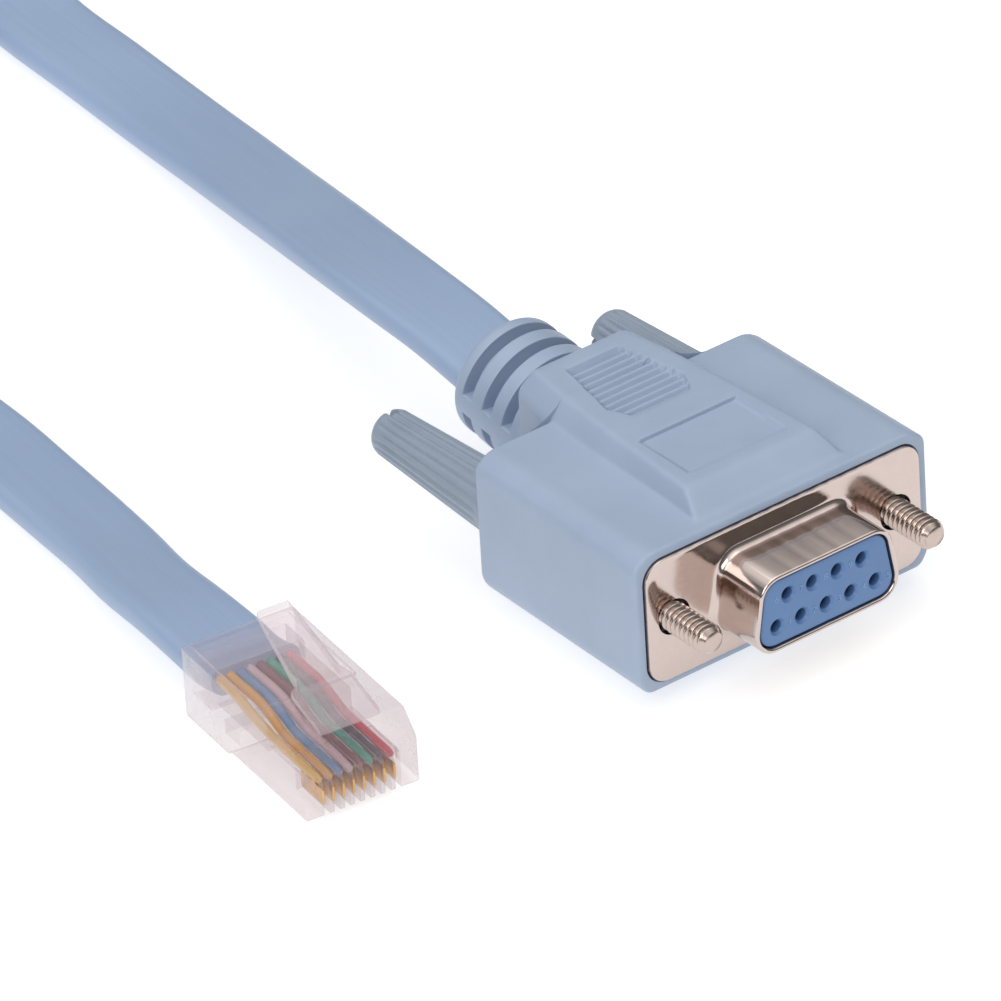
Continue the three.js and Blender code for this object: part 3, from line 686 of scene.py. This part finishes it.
def spread_ring(ring):
    """The same ring with its points crowded in its bends. Each quarter gets as many points, spread
    by its length plus a weight times the angle it turns through."""
    quarters = []
    ring = np.concatenate([ring, ring[:1]])
    step = np.diff(ring, axis=0)
    length = np.linalg.norm(step, axis=1)
    heading = step / np.maximum(length, 1e-9)[:, None]
    bend = np.arccos(np.clip((heading * np.roll(heading, 1, axis=0)).sum(axis=1), -1, 1))
    smooth = np.convolve(np.concatenate([bend[-3:], bend, bend[:3]]), np.ones(7) / 7, "valid")
    weight = np.concatenate([[0], np.cumsum(length + BEND_WEIGHT * smooth)])
    for quarter in range(4):
        a, b = quarter * RAYS // 4, (quarter + 1) * RAYS // 4
        at = np.linspace(weight[a], weight[b], COLUMNS // 4, endpoint=False)
        quarters.append(np.stack(
            [np.interp(at, weight[a:b + 1], ring[a:b + 1, k]) for k in range(3)], axis=1))
    return np.concatenate(quarters)


def spaced(*spans):
    """Places along a line: (start, end, count) for each span, each end left to the next span."""
    return np.concatenate([np.linspace(a, b, n, endpoint=False) for a, b, n in spans])


level_rows = spaced(
    (RIM_STEP + 0.001, 0.8, 7), (0.8, 1.4, 2), (1.4, 4.8, 14), (4.8, 6.1, 3), (6.1, 6.3, 4),
    (6.3, 13.1, 10), (13.1, 13.3, 4), (13.3, 16.9, 5), (16.9, 26.9, 112), (26.9, 28.6, 4),
    (28.6, 30.05, 16))
wall_rows = [b + d for b in SLOTS["backs"] for d in (-SLOTS["width"], 0)]
barrel_rows = np.sort(np.concatenate([
    spaced((1.15, 9.7, 16), (9.7, RELIEF_LENGTH - 0.001, 12)),
    *[[at - 0.16, at - 0.08, at - 0.02, at + 0.02, at + 0.08, at + 0.16] for at in wall_rows]]))
block_back = BLOCK["back"] - np.array([0.48, 0.32, 0.2, 0.12, 0.06, 0.02, 0.002, -0.01, -0.05])
level_rows = np.sort(np.concatenate([level_rows, block_back]))
print(len(level_rows), "level sections and", len(barrel_rows), "on the barrel")

hood_rings = [spread_ring(traced_ring(hood_field, (0, y, 0), (0, 0, 1))) for y in level_rows]
barrel_up = (0, -math.sin(RELIEF_RISE), math.cos(RELIEF_RISE))
for s in barrel_rows:
    middle = (0, RELIEF_START + s * math.cos(RELIEF_RISE), s * math.sin(RELIEF_RISE))
    hood_rings.append(spread_ring(traced_ring(hood_field, middle, barrel_up, 9.0)))

# %% [markdown]
# The front is open: a shallow pocket takes the metal flange, so the first rings run from the
# pocket's floor up its wall to the rim. Three holes are then cut: the cavity for the insulator and
# the two bores for the screws.

# %% The hood's pocket, cavity and bores
FLANGE = dict(width=30.8, height=12.5, corner=2.0, thickness=0.8, hole=1.75)
GAP = 0.3  # between the pocket's floor and the flange's back
FIT = 0.12  # how closely the moulded pieces close round the metal
SCREW_X = 24.99 / 2
POCKET_FLOOR = FLANGE["thickness"] + GAP


def polar_ring(outline, angles):
    """The points where rays at these angles meet an outline round the middle."""
    angle = np.arctan2(outline[:, 1], outline[:, 0])
    order = np.argsort(angle)
    radius = np.interp(angles, angle[order], np.hypot(*outline[order].T), period=2 * np.pi)
    return np.stack([radius * np.cos(angles), radius * np.sin(angles)], axis=1)


pocket, pocket_normal = convex_outline(
    rectangle(FLANGE["width"] + 2 * FIT, FLANGE["height"] + 2 * FIT), FLANGE["corner"] + FIT, 24, 60)
rim_angles = np.arctan2(hood_rings[0][:, 2], hood_rings[0][:, 0])
front_rings = [level_ring(polar_ring(pocket + pocket_normal * out, rim_angles), y)
               for out, y in ((-0.3, POCKET_FLOOR), (0, POCKET_FLOOR), (0, 0.42), (0.05, RIM_STEP))]


def placed(skin):
    """A skin moved from the connector's own axes into the part's frame."""
    return from_connector(skin[0]), skin[1]


def cutter(skin):
    """A solid in the connector's own axes that is there only to be cut away."""
    return new_object("cutter", placed(skin))


def screw_holes(radius, back, sides):
    """A cutter for both screws' holes, from in front of the flange to this far back."""
    return cutter(joined([turned_skin([(radius, -1), (radius, back)], sides, (x, 0))
                          for x in (-SCREW_X, SCREW_X)]))


CAVITY = dict(width=19.4, height=10.0, back=4.9)
BORE_RADIUS = 1.72
hood = new_object("hood_moulding", placed(closed_skin(np.stack(front_rings + hood_rings))), sharp=38)
half, high = CAVITY["width"] / 2, CAVITY["height"] / 2
cavity = cutter(box_skin((-half, -1, -high), (half, CAVITY["back"], high)))
cut(hood, [cavity, screw_holes(BORE_RADIUS, BLOCK["back"] + 1, 32)], sharp=38)
finish_piece(hood, "root", hood_finish, ["hood"])

# %% [markdown]
# The metal front is drawn from one sheet: a flat flange that rises through a small radius into a
# D-shaped wall with a rolled lip. That is one profile carried round the D, so the whole piece is
# a ring of rings. On the flat face the rings change step by step from a D to a rectangle.

# %% The metal front
D_SHAPE = dict(wide=8.45, narrow=7.15, half_height=3.85, corner=2.2, wall=0.45)
FOOT = 0.8  # radius where the wall rises from the flange
LIP = D_SHAPE["wall"] / 2

low, high = (-D_SHAPE["wide"], -D_SHAPE["half_height"]), (D_SHAPE["narrow"], D_SHAPE["half_height"])
d_corners = np.array([low, (-low[0], low[1]), high, (-high[0], high[1])])
d_points, d_normals = convex_outline(d_corners, D_SHAPE["corner"], 14, 16)
plate, plate_normal = convex_outline(
    rectangle(FLANGE["width"], FLANGE["height"]), FLANGE["corner"], 12, 16)
both = np.concatenate([d_points, plate])
shell_angles = np.unique(np.arctan2(both[:, 1], both[:, 0]).round(5))


def d_ring(out, y):
    """The D's outline this far outside the wall, at one y."""
    return level_ring(polar_ring(d_points + d_normals * out, shell_angles), y)


def plate_ring(out, y):
    """The flange's outline this far outside its edge, at one y."""
    return level_ring(polar_ring(plate + plate_normal * out, shell_angles), y)


def rings_between(one, other, count):
    """Rings that run straight from one to the other, without the first."""
    return [one * (1 - t) + other * t for t in np.linspace(0, 1, count)[1:]]


lip = [d_ring(-LIP - LIP * math.cos(a), -SHELL_REACH + LIP - LIP * math.sin(a))
       for a in np.radians(np.linspace(0, 180, 9))]
foot = [d_ring(FOOT * (1 - math.cos(a)), -FOOT * (1 - math.sin(a)))
        for a in np.radians(np.linspace(0, 90, 9))]
face = rings_between(d_ring(FOOT, 0), plate_ring(-0.14, 0), 7)
edge = [plate_ring(out, y)
        for out, y in ((-0.04, 0.04), (0, 0.14), (0, 0.66), (-0.04, 0.76), (-0.14, 0.8))]
behind = rings_between(plate_ring(-0.14, 0.8), d_ring(-D_SHAPE["wall"], 0.8), 5)
wall_inside = [d_ring(-D_SHAPE["wall"], y) for y in (-1.5, -4.0)]
shell = new_object("shell_plated", placed(torus_skin(np.stack(
    wall_inside + lip + foot + face + edge + behind))), sharp=38)
cut(shell, [screw_holes(FLANGE["hole"], 2, 48)], sharp=38)
finish_piece(shell, "root", nickel_finish, ["front_shell"])

# %% [markdown]
# The blue insulator fills the D. Each of its nine holes starts with a funnel, narrows to a neck
# and widens again round its contact. The funnels are what the eye sees, so they are real cuts.
# Its small numbers count the contacts, as on every connector of this kind.

# %% The insulator
INSULATOR = dict(face=-5.7, wide=18.8, high=9.4, corner=0.3, seat=1.1, back=4.6)
CONTACT = dict(pitch=2.77, row=2.84)
HOLE = [(1.25, -6.1), (0.85, -5.7), (0.6, -5.4), (0.6, -4.55), (1.0, -4.55), (1.0, 5.6)]


def contact_places():
    """Five places in the lower row and four in the upper, as x and z."""
    return [((i - (count - 1) / 2) * CONTACT["pitch"], z * CONTACT["row"] / 2)
            for count, z in ((5, -1), (4, 1)) for i in range(count)]


back, _ = convex_outline(
    rectangle(INSULATOR["wide"], INSULATOR["high"]), INSULATOR["corner"], 6, 10)
inner = -D_SHAPE["wall"] - FIT
face, seat = INSULATOR["face"], INSULATOR["seat"]
insulator_rings = [d_ring(inner - o, face + f) for o, f in ((0.3, 0), (0.1, 0.06), (0, 0.25), (0, 3))]
insulator_rings += [d_ring(inner, seat)]
insulator_rings += [level_ring(polar_ring(back, shell_angles), y) for y in (seat, INSULATOR["back"])]
insulator = new_object(
    "insulator_moulding", placed(closed_skin(np.stack(insulator_rings))), sharp=30)
holes = joined([turned_skin(HOLE, 36, place) for place in contact_places()])
cut(insulator, [cutter(holes)], sharp=30)
finish_piece(insulator, "root", insulator_finish, ["insulator"])

# %% Numbers beside the holes
NUMBER = dict(size=0.9, raised=0.06, aside=CONTACT["pitch"] / 2)

digits = bmesh.new()
for i, (x, z) in enumerate(contact_places()):
    curve = bpy.data.curves.new("digit", "FONT")
    curve.body, curve.size, curve.extrude = str(i + 1), NUMBER["size"] * MM, NUMBER["raised"] * MM
    curve.align_x, curve.align_y = "CENTER", "CENTER"
    text = bpy.data.objects.new("digit", curve)
    digit = bpy.data.meshes.new_from_object(text)
    aside = NUMBER["aside"] if z < 0 else -NUMBER["aside"]
    place = Vector((from_connector([x + aside, INSULATOR["face"], z]) * MM).tolist())
    digit.transform(Matrix.Translation(place) @ Matrix.Rotation(math.pi / 2, 4, "X"))
    digits.from_mesh(digit)
    bpy.data.objects.remove(text)
number_mesh = bpy.data.meshes.new("insulator_numbers")
digits.to_mesh(number_mesh)
digits.free()
numbers = add_object("insulator_numbers", number_mesh)
finish_piece(numbers, "root", number_painted_highlight_finish)

# %% [markdown]
# Each hole holds a gold sleeve whose mouth is rounded, so that a pin finds its way in.

# %% Contact sleeves
SLEEVE = [(0.5, 1.55), (0.5, -4.1), (0.56, -4.25), (0.64, -4.25), (0.7, -4.1), (0.7, 4.4)]
for i, place in enumerate(contact_places()):
    sleeve = new_object(f"contact_sleeve_{i + 1}", placed(turned_skin(SLEEVE, 28, place)), sharp=35)
    finish_piece(sleeve, "root", gold_finish, [f"socket_contact_{i + 1}"])

# %% [markdown]
# Each thumbscrew is a steel screw in a ribbed plastic knob. The thread is a true helix: the
# radius at each place depends on how far y is along the pitch, less the share of a turn that the
# angle has gone through. The knob's flutes are a cosine round it, and fade out at both ends.

# %% Screws and knobs
SCREW = dict(major=1.42, root=1.07, pitch=0.635, front=-5.56, tip=0.95, thread_end=2.4, shank=1.3,
             back=29.5)
KNOB = dict(start=23.8, end=41.6, radius=3.1, tip=2.35, round=1.4, flutes=20, depth=0.2, bore=1.6,
            bore_end=29.8)
SLOT_CUT = dict(width=1.0, depth=1.6)


def screw_skin(x):
    """A helix: the ridge's height is a rounded triangle wave of y over the pitch less angle over a
    turn, and it fades in from the tip's chamfer and out to the shank."""
    y = np.concatenate([np.arange(SCREW["front"], SCREW["thread_end"] + 0.5, 0.045), [SCREW["back"]]])
    angle = whole_turn(36)
    y, angle = np.meshgrid(y, angle, indexing="ij")
    wave = 1 - np.abs(((y / SCREW["pitch"] - angle / (2 * np.pi)) % 1) * 2 - 1)
    ridge = np.clip(wave * 1.35 - 0.12, 0, 1)
    thread = SCREW["root"] + (SCREW["major"] - SCREW["root"]) * ridge
    chamfer = SCREW["tip"] + (y - SCREW["front"]) * 0.9
    out = np.clip((y - SCREW["thread_end"]) / 0.4, 0, 1)
    radius = np.minimum(thread, chamfer) * (1 - out) + SCREW["shank"] * out
    return closed_skin(round_rings(x, y, 0, radius, angle))


def knob_skin(x):
    """A taper with a round end, less a cosine of the angle as deep as the flutes."""
    start, end, rounding = KNOB["start"], KNOB["end"], KNOB["round"]
    dome = np.radians(np.linspace(0, 88, 12))
    y = np.concatenate([
        start + np.array([0, 0.05, 0.15, 0.3, 0.6, 1.0, 1.4]),
        np.linspace(start + 1.8, end - rounding, 22), end - rounding * (1 - np.sin(dome[1:]))])
    radius = np.interp(y, (start, end - rounding), (KNOB["radius"], KNOB["tip"]))
    radius[-11:] -= rounding * (1 - np.cos(dome[1:]))
    radius[:3] -= (0.2, 0.1, 0.03)
    angle = whole_turn(KNOB["flutes"] * 10)
    window = np.clip((y - start - 0.5) / 0.8, 0, 1) * np.clip((end - 1.0 - y) / 1.2, 0, 1)
    flute = KNOB["depth"] * (0.5 - 0.5 * np.cos(KNOB["flutes"] * angle)) ** 1.5
    radius = radius[:, None] - window[:, None] * flute
    return closed_skin(round_rings(x, y[:, None], 0, radius, angle))


for side, x, body in (("left", -SCREW_X, "thumbscrew_left"), ("right", SCREW_X, "thumbscrew_right")):
    screw = new_object(f"screw_{side}", placed(screw_skin(x)), sharp=50)
    finish_piece(screw, body, screw_finish, [f"jackscrew_{side}"])
    knob = new_object(f"thumb_knob_{side}", placed(knob_skin(x)), sharp=40)
    bore = turned_skin([(KNOB["bore"], KNOB["start"] - 1), (KNOB["bore"], KNOB["bore_end"])], 32, (x, 0))
    half, reach = SLOT_CUT["width"] / 2, KNOB["radius"] + 1
    a, b = (half, reach) if side == "left" else (reach, half)
    slot = box_skin((x - a, KNOB["end"] - SLOT_CUT["depth"], -b), (x + a, KNOB["end"] + 1, b))
    cut(knob, [cutter(bore), cutter(slot)], sharp=40)
    finish_piece(knob, body, knob_finish, [f"knob_{side}"])

# %% [markdown]
# Two straps hold the coil. Each is a flat loop round all the turns, with its end lapped over.
# The loop's outline is carried round the coil's section in the plane of the coil's axis.

# %% The straps
TIE = dict(width=5.0, thickness=0.8, angles=(140, 320), low=0.95, high=19.75)
LOWER_TURNS, UPPER_TURNS = (0.1, 2.6), (2.85, 5.5)


def strap_finish():
    """Black woven strap: two crossed waves for its threads, and fuzz in its gloss."""
    finish = Finish("tie_strap", Sheen_Weight=0.3)
    warp, weft = (finish.node("ShaderNodeTexWave", dict(bands_direction=way),
                              {"Vector": finish.place, "Scale": scale})
                  for way, scale in (("Z", 700.0), ("DIAGONAL", 500.0)))
    fuzz = finish.noise(0.2, 3.0)
    finish.paint("Base Color", finish.blend(fuzz, (0.012, 0.012, 0.015, 1), (0.035, 0.035, 0.042, 1)))
    finish.paint("Roughness", 0.7 + 0.2 * fuzz)
    finish.relief(0.5 * warp * weft + 0.5 * fuzz, 0.12)
    return finish.material


def layer_span(angle, first, last):
    """The least and largest radius of the turns that pass this angle between two turns, with half
    the jacket's thickness and a little air added."""
    turns = np.arange(math.floor(first), math.ceil(last)) + angle / 360
    turns = turns[(turns > first) & (turns < last)]
    x, y, _, _ = coil_stations().T
    radius = np.hypot(x - COIL["x"], y - COIL["y"])
    radius = np.interp(turns, np.arange(1, len(x) + 1) * TURNS["step"], radius)
    room = CABLE["thickness"] / 2 + 0.15
    return radius.min() - room, radius.max() + room


def strap_skin(angle):
    """A flat section carried round a loop that fits both layers, then turned about the coil."""
    lower, upper = layer_span(angle, *LOWER_TURNS), layer_span(angle, *UPPER_TURNS)
    corners = [(lower[0], TIE["low"]), (lower[1], TIE["low"]), (upper[1], TIE["high"]),
               (upper[0], TIE["high"])]
    loop, out = convex_outline(corners, 0.5, 6, 14)
    lap = 0.35 * np.clip(1 - np.abs(np.linspace(-1, 1, len(loop))) * 3, 0, 1)
    half, thick = TIE["width"] / 2, TIE["thickness"]
    section = [(0, -half), (0, half), (thick * 0.8, half), (thick, half * 0.94),
               (thick, -half * 0.94), (thick * 0.8, -half)]
    rings = np.stack([loop + out * (o * (1 + lap[:, None])) for o, _ in section], axis=1)
    r, z = rings[..., 0], rings[..., 1]
    side = np.array([across for _, across in section])
    c, s = math.cos(math.radians(angle)), math.sin(math.radians(angle))
    return torus_skin(np.stack([COIL["x"] + r * c - side * s, COIL["y"] + r * s + side * c, z], axis=-1))


tie_finish = strap_finish()
for i, angle in enumerate(TIE["angles"]):
    tie = new_object(f"strap_{i + 1}", strap_skin(angle), sharp=40)
    finish_piece(tie, "root", tie_finish, [f"coil_tie_{i + 1}"])

# %% [markdown]
# The plug is clear, so its inside counts as much as its outside: the wires' chamber, the jacket's
# channel and the eight blade slots are all real hollows. Real refraction makes such a small part
# dark and murky, so its skin lets the light straight through and only its edges shine. Its own
# axes are v across, u back from the nose and h up, and one turn places it.

# %% Plug helpers
BODY = [(0, 0.5), (13.4, 0.5), (13.9, 0), (21.5, 0), (21.5, 7.3), (2.0, 7.3), (0, 5.25)]
BLADE_PITCH = 1.02


def on_plug_axes(points):
    """Points as v, u, h, turned about the vertical and moved to the plug's place."""
    v, u, h = np.moveaxis(np.asarray(points, float), -1, 0)
    c, s = math.cos(PLUG["turn"]), math.sin(PLUG["turn"])
    return np.stack([PLUG["x"] + v * c - u * s, PLUG["y"] + v * s + u * c, h], axis=-1)


def on_plug_skin(skin):
    """A skin moved from the plug's own axes into the part's frame."""
    return on_plug_axes(skin[0]), skin[1]


def soft_outline(corners, radius, count=5):
    """An outline with round corners that may also turn inwards: near each corner a quadratic curve
    leaves one edge a radius before the corner and meets the next a radius after it."""
    corners = np.asarray(corners, float)
    before, after = np.roll(corners, 1, axis=0) - corners, np.roll(corners, -1, axis=0) - corners
    length = np.minimum(np.linalg.norm(before, axis=1), np.linalg.norm(after, axis=1))[:, None]
    reach = np.minimum(radius, length * 0.45)
    start = corners + before / np.linalg.norm(before, axis=1)[:, None] * reach
    stop = corners + after / np.linalg.norm(after, axis=1)[:, None] * reach
    t = np.linspace(0, 1, count)[None, :, None]
    curve = (1 - t) ** 2 * start[:, None] + 2 * t * (1 - t) * corners[:, None] + t ** 2 * stop[:, None]
    return curve.reshape(-1, 2)


def slab_skin(outline, stations):
    """An outline in u and h, shrunk by so much at each station across v; its ends are flat."""
    step = np.roll(outline, -1, axis=0) - np.roll(outline, 1, axis=0)
    normal = np.stack([step[:, 1], -step[:, 0]], axis=1) / np.linalg.norm(step, axis=1)[:, None]
    rings = np.stack([np.concatenate([np.full((len(outline), 1), v), outline - normal * inset], axis=1)
                      for v, inset in stations])
    rows, columns, _ = rings.shape
    ends = [np.arange(columns)[None, ::-1], (np.arange(columns) + (rows - 1) * columns)[None]]
    return on_plug_axes(rings.reshape(-1, 3)), [grid_faces(rows, columns), *ends]


def edged(half, edge):
    """Stations across a slab whose two outer edges are rounded."""
    side = [(half, edge), (half - 0.3 * edge, 0.3 * edge), (half - edge, 0)]
    return [(-v, i) for v, i in side] + side[::-1]


def plug_box(v, u0, u1, h0, h1, middle=0.0):
    """A box cutter in the plug's axes, this far to both sides of its middle."""
    corners = np.array([[u0, h0], [u1, h0], [u1, h1], [u0, h1]], float)
    return slab_skin(corners, [(middle - v, 0), (middle + v, 0)])


# %% The clear body
def clear_finish(name, least_share):
    """Clear plastic as two skins: what goes straight through, faintly tinted, and a pale glossy skin
    whose share grows where the surface turns away, so that the round edges draw themselves."""
    finish = Finish(name, IOR=1.5)
    haze = finish.noise(1.5, 3.0)
    finish.paint("Base Color", finish.blend(haze, (0.6, 0.52, 0.545, 1), (0.8, 0.73, 0.75, 1)))
    finish.paint("Roughness", 0.03 + 0.05 * haze)
    finish.relief(haze, 0.01)
    through = finish.node("ShaderNodeBsdfTransparent", None, {"Color": (0.975, 0.952, 0.958, 1)})
    away = finish.node("ShaderNodeLayerWeight", None, {"Blend": 0.5}, output="Facing")
    share = least_share + 0.04 * haze + 0.85 * away ** 2.5
    skin = Signal(finish, finish.shader.outputs[0])
    mix = finish.node("ShaderNodeMixShader", None, {0: share, 1: through, 2: skin})
    finish.tree.links.new(mix.socket, finish.tree.nodes["Material Output"].inputs["Surface"])
    return finish.material


body = new_object(
    "plug_housing", slab_skin(soft_outline(BODY, 0.3), edged(PLUG["width"] / 2, 0.2)), sharp=30)
lanes = [(i - 3.5) * BLADE_PITCH for i in range(8)]
JACKET_CHANNEL, CORE_CHAMBER = (4.8, 18.1, 23, 1.95, 5.75), (4.25, 9.0, 18.2, 2.5, 5.9)
CORE_LANES, NOTCH = (4.15, 0.9, 9.1, 2.95, 4.1), (4.2, 14.4, 17.0, -1, 1.5)
TOP_POCKET = (4.9, 9.0, 20.9, 6.95, 8)
hollows = [plug_box(*box) for box in (JACKET_CHANNEL, CORE_CHAMBER, CORE_LANES, NOTCH, TOP_POCKET)]
hollows.append(joined([plug_box(0.31, -1, 5.0, -1, 4.3, lane) for lane in lanes]))
cut(body, [new_object("hollow", hollow) for hollow in hollows], sharp=30)
finish_piece(body, "root", clear_finish("clear_housing", 0.02), ["plug_body"])

# %% [markdown]
# The latch is a springy web that rises from the nose and ends in a thick arm. It is one solid of
# rounded sections, each a little higher and narrower than the last, with a step where the arm
# starts: that step is what catches in the socket.

# %% The latch
LATCH = [  # each section's u, half width, underside and top
    (1.5, 2.9, 7.68, 8.32), (1.6, 3.0, 7.62, 8.4), (4.0, 3.0, 8.16, 8.94), (6.3, 3.0, 8.75, 9.55),
    (6.5, 2.95, 8.8, 9.6), (6.62, 2.3, 8.8, 10.3), (6.8, 2.15, 8.85, 10.42), (8.0, 2.1, 9.3, 10.75),
    (11.0, 1.88, 10.67, 11.9), (14.0, 1.66, 12.05, 13.0), (14.45, 1.6, 12.26, 13.14),
    (14.6, 1.45, 12.4, 13.05)]
square, _ = convex_outline(rectangle(2, 2), 0.22, 5, 4)
latch_rings = np.stack([np.stack([square[:, 0] * half, np.full(len(square), u),
                                  (low + high) / 2 + square[:, 1] * (high - low) / 2], axis=1)
                        for u, half, low, high in LATCH])
latch = new_object("plug_latch_arm", on_plug_skin(closed_skin(latch_rings)), sharp=32)
finish_piece(latch, "latch", clear_finish("clear_latch", 0.17), ["plug_latch"])

# %% [markdown]
# Inside lie the eight cores and the eight gold blades that bite into them. The cores leave the
# jacket side by side, bow a little as they find their lanes, and run on over the blades to the
# nose. Their colours tell the lanes apart.

# %% Wires and blades
CORES = [("yellow", (217, 177, 74)), ("orange", (214, 160, 62)), ("blue", (92, 140, 184)),
         ("white", (205, 180, 184)), ("brown", (122, 72, 78)), ("green", (52, 160, 136)),
         ("black", (66, 64, 74)), ("red", (208, 72, 84))]
CORE = dict(front=1.15, back=18.8, height=3.5, lift=1.0, bend_start=8.0, bend_length=10.0)
BOWS = (-0.2, 0.18, 0.2, 0.18, 0.16, 0.2, 0.15, 0.1)
BLADE = [(0.6, 1.2), (4.4, 1.2), (4.4, 2.8), (3.9, 2.8), (3.7, 3.5), (3.3, 2.8), (2.4, 2.8),
         (2.2, 3.5), (1.8, 2.8), (0.6, 2.8)]


def core_skin(lane, bow):
    """A tube from the nose to the jacket. A cosine lifts it to the jacket's height, a squared sine
    bows it, and its ends narrow a little."""
    u = np.linspace(CORE["front"], CORE["back"], 40)[:, None]
    late = np.clip((u - CORE["bend_start"]) / CORE["bend_length"], 0, 1)
    arch = np.sin(np.pi * late) ** 2
    v = lane * (1 - 0.02 * late) + bow * arch
    h = CORE["height"] + 0.3 * arch + CORE["lift"] * (1 - np.cos(np.pi * late)) / 2
    radius = np.interp(u, (CORE["front"], 1.3, 9, 12, CORE["back"]), (0.3, 0.4, 0.42, 0.46, 0.47))
    return on_plug_skin(closed_skin(round_rings(v, u, h, radius, whole_turn(18))))


for i, (lane, (colour, tone)) in enumerate(zip(lanes, CORES)):
    paint = moulded(f"core_{colour}", seen(*[0.92 * c for c in tone]), seen(*tone), 0.35, 0.5, 0.01)
    core = new_object(f"core_{i + 1}", core_skin(lane, BOWS[i]), sharp=50)
    finish_piece(core, "root", paint, [f"wire_{i + 1}"])
    sides = [(lane + v, inset) for v, inset in edged(0.11, 0.03)]
    blade = new_object(f"blade_{i + 1}", slab_skin(soft_outline(BLADE, 0.18), sides), sharp=35)
    finish_piece(blade, "root", gold_finish, [f"plug_contact_{i + 1}"])

# %% [markdown]
# The cord's free path is kept as points in metres. The stretch inside the relief
# isn't counted, so the path starts at the relief's end.

# %% The cord's free path
free = line[along >= 4.0, :3] * MM

# %% [markdown]
# The photograph has a white background with hardly a shadow, so the floor is pale and gives off
# a little light of its own, which keeps the shadows faint. The sky is soft and darker near the
# horizon, because bright metal looks flat when all that it mirrors is equally bright. One large
# lamp to the left of the camera and one overhead give the soft highlights.

# %% Floor, sky and lamps
floor_mesh = bpy.data.meshes.new("floor")
floor_mesh.from_pydata([(-9, -9, 0), (9, -9, 0), (9, 9, 0), (-9, 9, 0)], [], [(0, 1, 2, 3)])
floor = add_object("floor", floor_mesh)
floor_paint = Finish("floor_paint", Roughness=0.9, Emission_Strength=0.62)
floor_tone = floor_paint.noise(400.0, 2.0)
floor_paint.paint("Base Color", floor_paint.blend(
    floor_tone, (0.52, 0.52, 0.52, 1), (0.56, 0.56, 0.56, 1)))
floor_paint.shader.inputs["Emission Color"].default_value = (1, 1, 1, 1)
floor_mesh.materials.append(floor_paint.material)

world = bpy.data.worlds.new("sky")
bpy.context.scene.world = world
world.use_nodes = True
sky = world.node_tree
direction = sky.nodes.new("ShaderNodeTexCoord").outputs["Generated"]
split = sky.nodes.new("ShaderNodeSeparateXYZ")
ramp = sky.nodes.new("ShaderNodeValToRGB")
sky.links.new(direction, split.inputs[0])
sky.links.new(split.outputs["Z"], ramp.inputs[0])
sky.links.new(ramp.outputs[0], sky.nodes["Background"].inputs["Color"])
ramp.color_ramp.elements.new(0.6)
for stop, (at, level) in zip(ramp.color_ramp.elements, ((0.0, 0.12), (0.55, 0.22), (1.0, 1.6))):
    stop.position, stop.color = at, (level, level, level, 1)


def lamp(name, place, target, size, power):
    """A square lamp that looks at a point and that the camera doesn't see."""
    light = bpy.data.lights.new(name, "AREA")
    light.size, light.energy = size, power
    thing = add_object(name, light)
    thing.location = place
    thing.rotation_euler = (Vector(target) - Vector(place)).to_track_quat("-Z", "Y").to_euler()
    thing.visible_camera = False


lamp("left_lamp", (-1.6, -0.9, 1.3), (0, 0, 0), 1.4, 20)
lamp("top_lamp", (0.2, 0.3, 2.2), (0, 0, 0), 1.6, 3)
